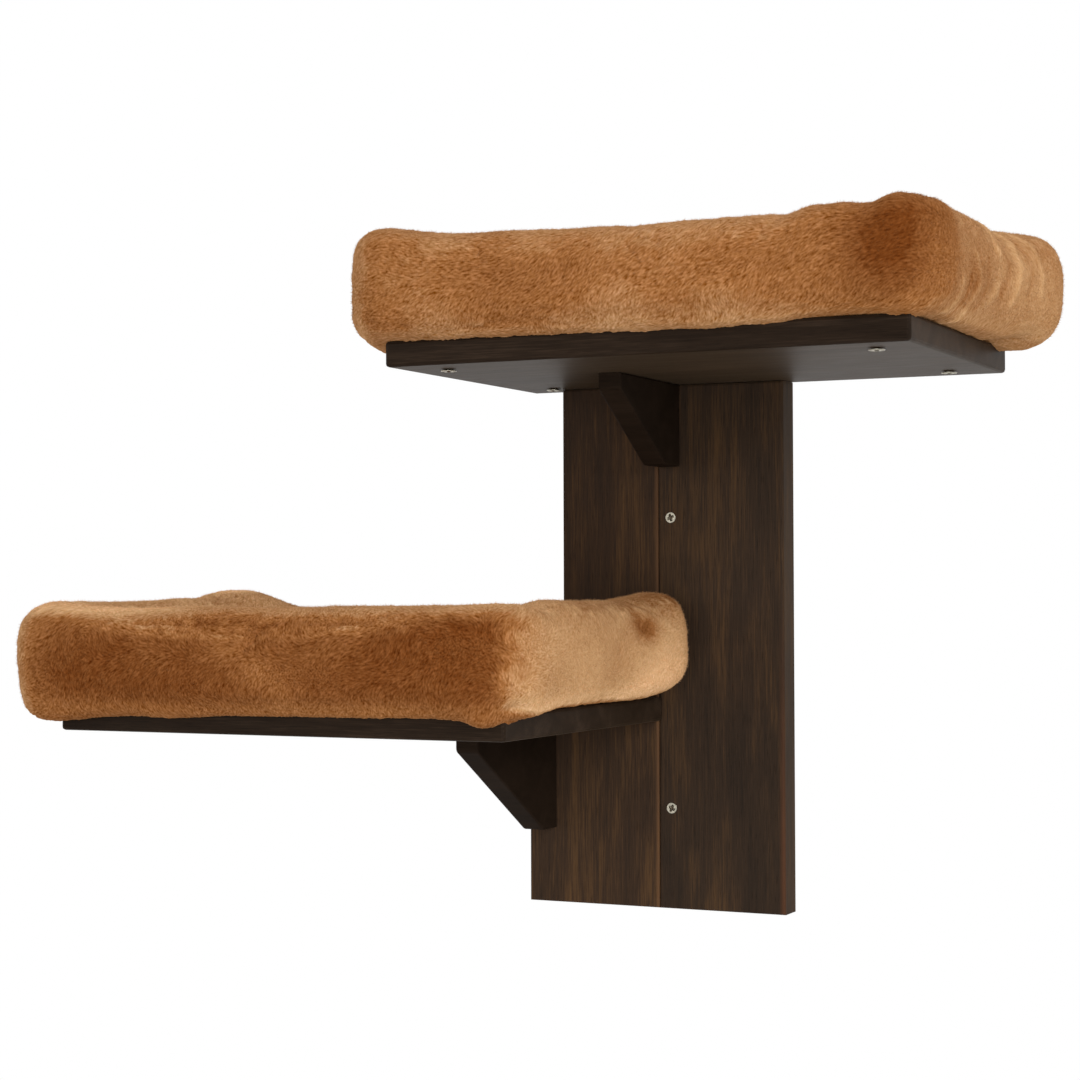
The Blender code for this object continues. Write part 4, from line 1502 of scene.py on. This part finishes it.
@dataclass
class CrossScrew:
    """A screw with a cross recess, turned about its axis."""

    node: str
    kind: Head
    out: Triple
    head: float
    head_height: float
    shank: float
    length: float
    turn: float
    recess_depth: float = 1.7
    columns: int = 72
    head_rows: int = 22

    def profile(self) -> Array:
        """The turned outline: the head's top and underside, then the shank to its point.

        Returns:
            Radius and height of each row, from the middle of the head.
        """
        radius, half, tip = self.head / 2, self.shank / 2, -self.length
        if self.kind is Head.DOMED:
            up, across = rounded(np.linspace(0, QUARTER_TURN, self.head_rows), 0.7)
            rim, neck = self.head_height * 0.3, -self.head_height * 0.2 - 0.6
            top = np.stack([radius * across, rim + 0.5 * (self.head_height - rim) * up], -1)
            under = [(radius * 0.95, rim * 0.85), (radius * 0.7, rim * 0.7), (radius * 0.66, 0.0)]
            under.append((half + 0.3, 0.0))
        else:
            neck = -self.head_height - 0.3
            top = np.linspace((0, 0), (radius - 0.15, 0), self.head_rows)
            under = [(radius, -0.15), (radius, -0.4), (half + 0.2, -self.head_height)]
        shank = [(half, neck), (half, tip + 6.0), (half / 2, tip + 2.0), (0.15, tip + 0.05)]
        return np.concatenate([top[1:], under, shank])

    def recess(self, x: Array, y: Array) -> Array:
        """Depth of the cross recess: full in the middle, sloping up along two crossed slots.

        Args:
            x: Place along the first slot.
            y: Place along the second.

        Returns:
            The share of the full depth.
        """
        reach = self.head * (0.36 if self.kind is Head.FLUSH else 0.46)
        slot = self.head * 0.10
        first, second = (
            ease(-np.abs(beside), -slot * 1.35, slot * 0.5) * ease(-np.abs(along), -reach, reach * 0.35)
            for along, beside in ((x, y), (y, x))
        )
        return np.maximum(first, second) * (1 - 0.35 * np.hypot(x, y) / reach)

    def build(self, finish: Material) -> Piece:
        """Make the screw where its node is.

        Args:
            finish: The plated steel.

        Returns:
            The finished piece, riding on the shelf.
        """
        low, high = (np.array(corner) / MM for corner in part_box(self.node))
        out = np.array(self.out)
        axis = int(np.argmax(np.abs(out)))
        seat = (low + high) / 2
        seat[axis] = high[axis] if out[axis] > 0 else low[axis]
        domed = self.kind is Head.DOMED
        if domed:
            seat[axis] -= self.head_height * out[axis]
        profile = self.profile()
        angle = np.arange(self.columns) / self.columns * FULL_TURN
        x, y = profile[:, :1] * np.cos(angle), profile[:, :1] * np.sin(angle)
        row = np.arange(len(profile))[:, None]
        depth = np.where(row < self.head_rows - 1, self.recess(x, y), 0)
        z = profile[:, 1:] - depth * self.recess_depth
        side = np.array([1.0, 0, 0]) if axis != 0 else np.array([0, 1.0, 0])
        other = np.cross(out, side)
        cosine, sine = math.cos(self.turn), math.sin(self.turn)
        turned_x, turned_y = x * cosine - y * sine, x * sine + y * cosine
        points = seat + turned_x[..., None] * side + turned_y[..., None] * other + z[..., None] * out
        index = numbered(len(profile), self.columns)
        middle = seat + out * (profile[0, 1] - self.recess_depth)
        everything = np.concatenate([points.reshape(-1, 3), [middle, seat - out * self.length]])
        ends = fan(index[0], index.size), fan(index[-1], index.size + 1)[:, ::-1]
        piece = piece_from(f"{self.node}_driven", everything, [quads(index, False, True), *ends])
        # Painted shade: the recess, and under a domed head its narrow underside and the shank, take the dark
        # recess colour.
        dull = depth + (row >= self.head_rows) * domed
        paint(piece, recess=np.append(dull.ravel(), [1.0, 0.0]))
        piece.data.set_sharp_from_angle(angle=math.radians(35))
        return hand_over(piece, finish, self.node)


# The picture

@dataclass
class Studio:
    """Plain soft light, a pale floor under the shelf, and the photograph's camera.

    Each lamp has a name, a place, its watts and its diameter. The floor is given in millimetres, the lamps'
    and the camera's places in metres, and the camera's angles in degrees.
    """

    floor_z: float = -850.0
    floor_radius: float = 1500.0
    floor_fade: tuple[float, float] = (0.45, 0.97)
    lens_mm: float = 76.083
    sensor_mm: float = 36.0
    camera_at: Triple = (0.72611368, -1.80919775, 0.06123587)
    yaw: float = 25.45154076
    pitch: float = 1.26048230
    roll: float = -0.16900877
    aim: Triple = (-0.05, -0.1, 0.05)
    world_level: float = 0.42
    lamps: tuple[tuple[str, Triple, float, float], ...] = (
        ("key", (2.4, -1.7, 1.1), 38, 1.6),
        ("fill", (-2.2, -2.0, 0.6), 13, 1.8),
        ("low", (0.6, -2.2, -0.55), 18.5, 2.0),
        ("top", (0.2, -0.9, 2.0), 5, 1.4),
    )

    def add_camera(self) -> None:
        """Look at the shelf as the photograph does."""
        yaw, pitch, roll = (math.radians(angle) for angle in (self.yaw, self.pitch, self.roll))
        ahead = Vector((-math.sin(yaw) * math.cos(pitch), math.cos(yaw) * math.cos(pitch), math.sin(pitch)))
        right = Vector((math.cos(yaw), math.sin(yaw), 0))
        up = right.cross(ahead)
        rolled_right = right * math.cos(roll) + up * math.sin(roll)
        rolled_up = up * math.cos(roll) - right * math.sin(roll)
        turned = Matrix((rolled_right, rolled_up, -ahead)).transposed().to_4x4()
        data = bpy.data.cameras.new("photograph")
        data.sensor_width = self.sensor_mm
        data.lens = self.lens_mm
        camera = bpy.data.objects.new("photograph", data)
        camera.matrix_world = Matrix.Translation(self.camera_at) @ turned
        bpy.context.scene.collection.objects.link(camera)
        bpy.context.scene.camera = camera

    def add_lamp(self, name: str, place: Triple, watts: float, size: float) -> None:
        """Add a large soft lamp that points at the middle of the shelf.

        Args:
            name: The lamp's name.
            place: Where it stands.
            watts: Its power.
            size: Its diameter.
        """
        data = bpy.data.lights.new(name, "AREA")
        data.shape = "DISK"
        data.size = size
        data.energy = watts
        lamp = bpy.data.objects.new(name, data)
        aim = Vector(self.aim) - Vector(place)
        lamp.matrix_world = Matrix.Translation(place) @ aim.to_track_quat("-Z", "Y").to_matrix().to_4x4()
        bpy.context.scene.collection.objects.link(lamp)

    def add_world(self) -> None:
        """Light evenly from all round, behind a background that shows white."""
        world = bpy.data.worlds.new("studio")
        bpy.context.scene.world = world
        world.use_nodes = True
        graph = Graph(world.node_tree)
        graph.tree.nodes.clear()
        lit, white = (
            graph.add("Background", {"Color": grey(1.0), "Strength": level}).outputs[0]
            for level in (self.world_level, 1.0)
        )
        mixed = graph.add("MixShader", {0: graph.seen(), 1: lit, 2: white})
        graph.add("OutputWorld", {"Surface": mixed.outputs[0]})

    def add_floor(self) -> None:
        """A round pale floor that fades to white at its rim, and keeps the shelf's shadow in its middle."""
        material, graph, shader = start_material("pale_floor")
        graph.feed(shader, {"Base Color": grey(0.82), "Roughness": 0.9})
        per_metre = 1 / (self.floor_radius * MM)
        place = graph.pattern((per_metre, per_metre, 0))
        away = graph.add("VectorMath", {0: place}, operation="LENGTH").outputs["Value"]
        fade = graph.ramp(away, *zip(self.floor_fade, (grey(0.0), grey(1.0))))
        share = graph.math("MULTIPLY", fade, graph.seen())
        white = graph.add("Emission", {"Color": grey(1.0), "Strength": 1.0})
        mixed = graph.add("MixShader", {0: share, 1: shader.outputs[0], 2: white.outputs[0]})
        graph.feed(graph.tree.nodes["Material Output"], {"Surface": mixed.outputs[0]})
        rings, columns = 24, 96
        radii = np.linspace(20, self.floor_radius, rings)[:, None]
        angle = np.arange(columns) / columns * FULL_TURN
        disc = np.broadcast_arrays(radii * np.cos(angle), radii * np.sin(angle), self.floor_z)
        points = np.concatenate([np.stack(disc, -1).reshape(-1, 3), [[0, 0, self.floor_z]]])
        index = numbered(rings, columns)
        floor = piece_from("studio_floor", points, [quads(index, False, True), fan(index[0], index.size)])
        floor.data.materials.append(material)

    def build(self) -> None:
        """Set the whole studio up."""
        self.add_camera()
        self.add_world()
        for lamp in self.lamps:
            self.add_lamp(*lamp)
        self.add_floor()
        bpy.context.scene.view_settings.view_transform = "Standard"


# The shelf

@dataclass
class Shelf:
    """The whole shelf: wood, screws and two beds."""

    steel: ZincSteel = ZincSteel("zinc_plated_steel")
    plain_steel: ZincSteel = ZincSteel("zinc_plated_shank", with_recess=False)
    plush: Plush = Plush("golden_plush", "#6E3A14", "#A0693A", "#D3A574", "#F0BF8C")

    def dress(self, finish: Finish, nodes: list[str]) -> None:
        """Give CAD nodes a finish in place of their plain one.

        Args:
            finish: The finish.
            nodes: Names of the nodes.
        """
        material = finish.material()
        for node in nodes:
            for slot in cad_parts[node].material_slots:
                slot.material = material
            LOG.info("dressed %s with %s", node, finish.name)

    def dress_wood(self) -> None:
        """Stain the staves, the boards and the brackets, and finish what is inside them."""
        # Painted highlights along the seam and along the right stave's arris, the arris's only low down.
        seam = PaintedEdgeHighlight((-11.5, -28.0), 3.6, "#755338", 0.55)
        arris = PaintedEdgeHighlight((99.5, -28.0), 4.5, "#6B432C", 0.55, (-150.0, 60.0))
        left = Walnut("walnut_left_stave", Axis.Z, "#2A221D", "#3F2F23", "#684B2F", edges=(seam,))
        right = Walnut(
            "walnut_right_stave", Axis.Z, "#26201B", "#392C22", "#5C432B",
            shift=(3.0, 5.0, 1.0), edges=(arris,),
        )
        board = Walnut(
            "walnut_boards", Axis.X, "#19110B", "#291F17", "#44362B",
            shift=(7.0, 2.0, 4.0), roughness=0.46, shine=0.038, bloom=0.09,
        )
        bracket = Walnut(
            "walnut_brackets", Axis.X, "#1C140E", "#271D15", "#33271E",
            shift=(1.0, 8.0, 2.0), shine=0.03, bloom=0.0,
        )
        beech = PaleWood("beech_dowels", Axis.X, "#B98F62", "#D9B88A")
        birch = PaleWood("birch_plywood", Axis.X, "#B08A5C", "#D0AE80")
        self.dress(left, ["wall_plate_left_stave"])
        self.dress(right, ["wall_plate_right_stave"])
        self.dress(board, [f"{level}_shelf_board" for level in LEVELS])
        self.dress(bracket, [f"{level}_bracket" for level in LEVELS])
        self.dress(beech, [f"wall_plate_dowel_{end}" for end in ("upper", "middle", "lower")])
        self.dress(birch, [f"{level}_bed_base_panel" for level in LEVELS])

    def add_screws(self) -> None:
        """Drive the screws whose heads can be seen, and dress the hidden ones."""
        wall = {"head": 9.0, "head_height": 2.8, "shank": 4.5, "length": 55.0}
        bed = {"head": 12.5, "head_height": 3.0, "shank": 4.0, "length": 28.7}
        back = {"head": 8.0, "head_height": 2.5, "shank": 4.0, "length": 52.0}
        forward, down, backward = (0, -1, 0), (0, 0, -1), (0, 1, 0)
        shown = [
            CrossScrew(f"wall_screw_{level}", Head.FLUSH, forward, **wall, turn=turn)
            for level, turn in zip(LEVELS, (0.35, 1.1))
        ]
        ends = ("front_left", "front_right", "rear_left", "rear_right")
        for number, node in enumerate(f"{level}_bed_screw_{end}" for level in LEVELS for end in ends):
            shown.append(CrossScrew(node, Head.DOMED, down, **bed, turn=-0.38 + 0.12 * (number % 3)))
        backs = [f"lower_board_screw_{end}" for end in ("left", "middle", "right")]
        backs += [f"{level}_bracket_screw_back" for level in LEVELS]
        for number, node in enumerate(backs):
            shown.append(CrossScrew(node, Head.FLUSH, backward, **back, turn=0.2 + 0.5 * number))
        steel = self.steel.material()
        for screw in shown:
            LOG.info("drove %s", screw.build(steel).name)
        hidden = [f"upper_board_screw_{end}" for end in ("left", "middle", "right")]
        self.dress(self.plain_steel, hidden + [f"{level}_bracket_screw_top" for level in LEVELS])

    def upper_pile(self) -> Pile:
        """The upper bed's cover: darker at the puffed front corner and lighter on its right, the right side
        partly painted light.

        Returns:
            The pile.
        """
        return Pile(
            seed=11,
            default_nap=(0.8, 0.0, 0.58),
            ground=0.475,
            nap=spots(
                (325, -130, 295, 40, 130, 70, 1, -0.3, -0.3), (60, -275, 258, 260, 30, 12, 0.5, -0.3, 0.8),
                (-90, -290, 318, 60, 60, 22, 0.8, 0, -0.5), (-150, -290, 290, 40, 60, 40, 0.9, 0, 0.3),
                (280, -298, 290, 36, 40, 35, 0.6, -0.8, 0.3),
            ),
            # Tone spots: the pile's own tone, with painted light and painted shade.
            tones=spots(
                (270, -294, 284, 36, 44, 32, -0.42), (278, -292, 318, 44, 44, 24, -0.34),
                (298, -262, 300, 18, 22, 40, -0.18), (308, -202, 284, 30, 24, 20, -0.22),
                (302, -110, 338, 34, 110, 12, 0.22), (-115, -292, 296, 40, 40, 44, -0.04),
                (-165, -285, 260, 22, 50, 14, 0.14), (318, -70, 285, 30, 60, 40, 0.05),
                (-40, -292, 302, 26, 30, 24, -0.09), (33, -292, 310, 18, 30, 16, -0.08),
                (85, -292, 296, 18, 30, 14, -0.06), (75, -292, 316, 50, 30, 12, 0.08),
                (110, -292, 260, 150, 40, 20, 0.12),
            ),
            # Facings paint light by the way the cover faces.
            facings=(
                Facing((1, 0, 0), 0.25, 0.75, 0.22),
                Facing((-1, -0.2, 0), 0.35, 0.50, 0.24),
                Facing((0, 0, 1), 0.35, 0.65, 0.17),
                Facing((0, 0, -1), 0.30, 0.65, 0.17),
            ),
            swells=spots(
                (-40, -272, 325, 40, 30, 25, 4.2), (-150, -272, 325, 30, 30, 25, 1.5),
                (45, -272, 325, 26, 30, 25, 1.2), (190, -270, 328, 10, 30, 22, -1.8),
                (209, -270, 328, 11, 30, 22, 2.6), (226, -270, 328, 12, 30, 22, 0.6),
                (247, -270, 330, 11, 30, 22, -4.2), (258, -276, 332, 9, 30, 18, -3.5),
                (296, -262, 336, 14, 24, 16, -1.5), (304, -232, 332, 16, 24, 20, -3.2),
                (-165, -262, 250, 24, 60, 12, 3.0), (-174, -270, 266, 14, 40, 12, 3.5),
                (-170, -262, 330, 20, 40, 16, -2.0), (-70, -265, 256, 40, 30, 8, -2.0),
                (-128, -270, 255, 34, 30, 9, -2.6), (122, -272, 254, 36, 30, 8, 2.0),
                (276, -268, 256, 16, 24, 10, 3.0), (290, -54, 252, 26, 18, 14, -6.5),
                (304, -30, 252, 20, 16, 14, 3.0), (303, -180, 328, 20, 20, 22, 1.2),
                (307, -104, 330, 22, 20, 22, -5.8), (302, -86, 332, 20, 15, 18, -3.0),
                (305, -60, 336, 22, 24, 16, -1.8), (332, -22, 314, 22, 24, 34, 3.5),
            ),
            # Ridges with painted highlights and creases with painted shade.
            folds=(
                Fold(4.6, 1.9, 0.20, ((300, -153, 332), (305, -142, 320), (308, -134, 306), (309, -141, 291),
                                      (307, -158, 274))),
                Fold(3.6, -0.8, -0.14, ((302, -118, 330), (309, -113, 306), (311, -122, 290),
                                        (309, -136, 276))),
                Fold(4.2, 1.8, 0.19, ((301, -86, 331), (307, -89, 321), (314, -96, 308), (315, -104, 292),
                                      (314, -112, 276))),
                Fold(3.0, -0.6, -0.09, ((306, -82, 328), (318, -78, 308), (320, -88, 284))),
                Fold(4.0, 1.1, 0.16, ((308, -70, 328), (318, -66, 317), (323, -66, 303), (323, -68, 288))),
                Fold(4.2, 1.6, 0.19, ((310, -205, 300), (309, -190, 283), (305, -200, 267),
                                      (295, -196, 257))),
                Fold(3.6, 1.2, 0.20, ((308, -238, 280), (302, -232, 265), (295, -235, 257))),
                Fold(3.2, -1.0, -0.16, ((309, -216, 284), (304, -216, 268), (296, -214, 257))),
                Fold(3.4, -0.8, -0.12, ((309, -168, 300), (309, -170, 284), (305, -178, 266))),
            ),
            calm=spots((340, -120, 295, 52, 130, 90, 0.55), (290, -285, 300, 40, 50, 50, 0.20)),
        )

    def lower_pile(self) -> Pile:
        """The lower bed's cover: dark along its front, light along its rim and round its right end, the rim
        and the right end partly painted light.

        Returns:
            The pile.
        """
        return Pile(
            seed=23,
            default_nap=(0.28, -0.92, 0.26),
            ground=0.12,
            wander=0.3,
            nap=spots(
                (40, -200, 10, 40, 130, 70, 1, 0, -0.15), (-120, -330, 56, 320, 60, 14, 0.3, 0, 0.9),
            ),
            # Tone spots: the pile's own tone, with painted light on the rim, crest and right end, and painted
            # shade at the rear rim's foot and by the fold.
            tones=spots(
                (-60, -354, 14, 50, 40, 30, -0.08), (-430, -345, 20, 30, 60, 60, 0.36),
                (-432, -345, -16, 34, 50, 12, 0.16), (-231, -353, 17, 14, 40, 10, 0.18),
                (-200, -353, 0, 16, 40, 12, 0.20), (-182, -353, -12, 12, 40, 10, 0.14),
                (-299, -353, 12, 20, 40, 14, 0.10), (-200, -345, -30, 300, 60, 10, 0.34),
                (-120, -336, 50, 200, 60, 6.0, 0.74), (-110, -345, 33, 130, 60, 6, -0.05),
                (-335, -340, 43, 66, 60, 5.5, 0.44), (-310, -350, 31, 70, 60, 10, 0.10),
                (-236, -345, 37, 42, 60, 5, -0.12), (-236, -334, 48, 60, 60, 5, 0.50),
                (20, -131, 31, 20, 19, 11, -0.60), (-438, -330, 44, 26, 60, 24, 0.16),
                (4, -326, 8, 13, 22, 24, -0.24), (10, -300, -24, 22, 40, 12, 0.14),
                (-2, -262, 56, 30, 60, 12, 0.40), (-402, -105, 58, 40, 110, 8, 0.85),
                (-390, -115, 50.5, 32, 90, 2.0, -0.30), (-420, -150, 40, 60, 140, 50, 0.15),
                (4, -140, -28, 30, 150, 14, 0.38), (16, -110, 0, 30, 60, 34, 0.22),
                (18, -90, 50, 20, 36, 12, -0.22),
            ),
            # Facings paint light by the way the cover faces.
            facings=(
                Facing((1, 0, 0), 0.30, 0.58, 0.76),
                Facing((-1, -0.2, 0), 0.35, 0.50, 0.24),
                Facing((0, -0.2, 1), 0.56, 0.44, 0.56),
            ),
            swells=spots(
                (-388, -60, 57, 42, 44, 25, 2.6), (-398, -145, 57, 45, 55, 25, 3.4),
                (-258, -330, 48, 66, 26, 20, 4.0), (-1, -284, 50, 22, 20, 14, -5.0),
                (-425, -337, 48, 18, 26, 12, -2.5), (-325, -325, 50, 60, 26, 12, -1.8),
                (-288, -336, -30, 66, 30, 10, 4.0), (-439, -314, -15, 22, 50, 16, -2.8),
                (-20, -340, -32, 14, 24, 9, 5.2), (4, -330, -27, 15, 20, 10, -8.0),
                (-140, -330, 45, 40, 30, 25, 2.6), (-80, -330, 45, 30, 30, 25, 1.5),
                (-430, -330, 40, 20, 30, 25, 2.0), (-444, -200, 10, 25, 110, 50, 1.5),
            ),
            # A crease with painted shade.
            folds=(Fold(12.0, -1.2, -0.06, ((20, -134, 33), (22, -127, 22))),),
            calm=spots((52, -190, 10, 50, 160, 100, 0.74)),
        )

    def add_beds(self) -> None:
        """Make both rings and both pads."""
        plush = self.plush.material()
        upper = Bolster(
            "upper_bed_bolster",
            "upper_shelf_board",
            overhang=(31.0, 28.0, 25.0),
            bulge=26.0,
            droop=6.0,
            heights=RingShares(0.91, 0.97, 0.93, 0.96, 1.05, 1.00, 1.04, 1.03),
            droops=RingShares(0.7, 0.4, 1.0, 2.0, 0.5, 0.1, 1.45, 1.0),
            pile=self.upper_pile(),
            wall_y=0.0,
        )
        lower = Bolster(
            "lower_bed_bolster",
            "lower_shelf_board",
            overhang=(42.0, 26.0, 25.0),
            bulge=10.0,
            droop=10.0,
            heights=RingShares(0.955, 1.02, 0.91, 1.01, 0.985, 0.965, 1.12, 1.12),
            droops=RingShares(0.68, 0.1, 0.8, 1.0, 1.8, 1.1, -0.3, 0.8),
            pile=self.lower_pile(),
            wall_y=-28.0,
            crest_mm=5.5,
        )
        for level, ring in zip(LEVELS, (upper, lower)):
            pad = FloorPad(f"{level}_bed_pad", ring, Pile(ring.pile.seed + 1, (1.0, 0.3, 0.0)))
            for piece in (ring.build(plush), pad.build(plush)):
                LOG.info("stuffed %s: %d faces", piece.name, len(piece.data.polygons))


def main() -> None:
    """Dress the shelf and set the studio up."""
    logging.basicConfig(level=logging.INFO, format="%(name)s: %(message)s")
    shelf = Shelf()
    shelf.dress_wood()
    shelf.add_screws()
    shelf.add_beds()
    Studio().build()


if __name__ == "__main__":
    main()
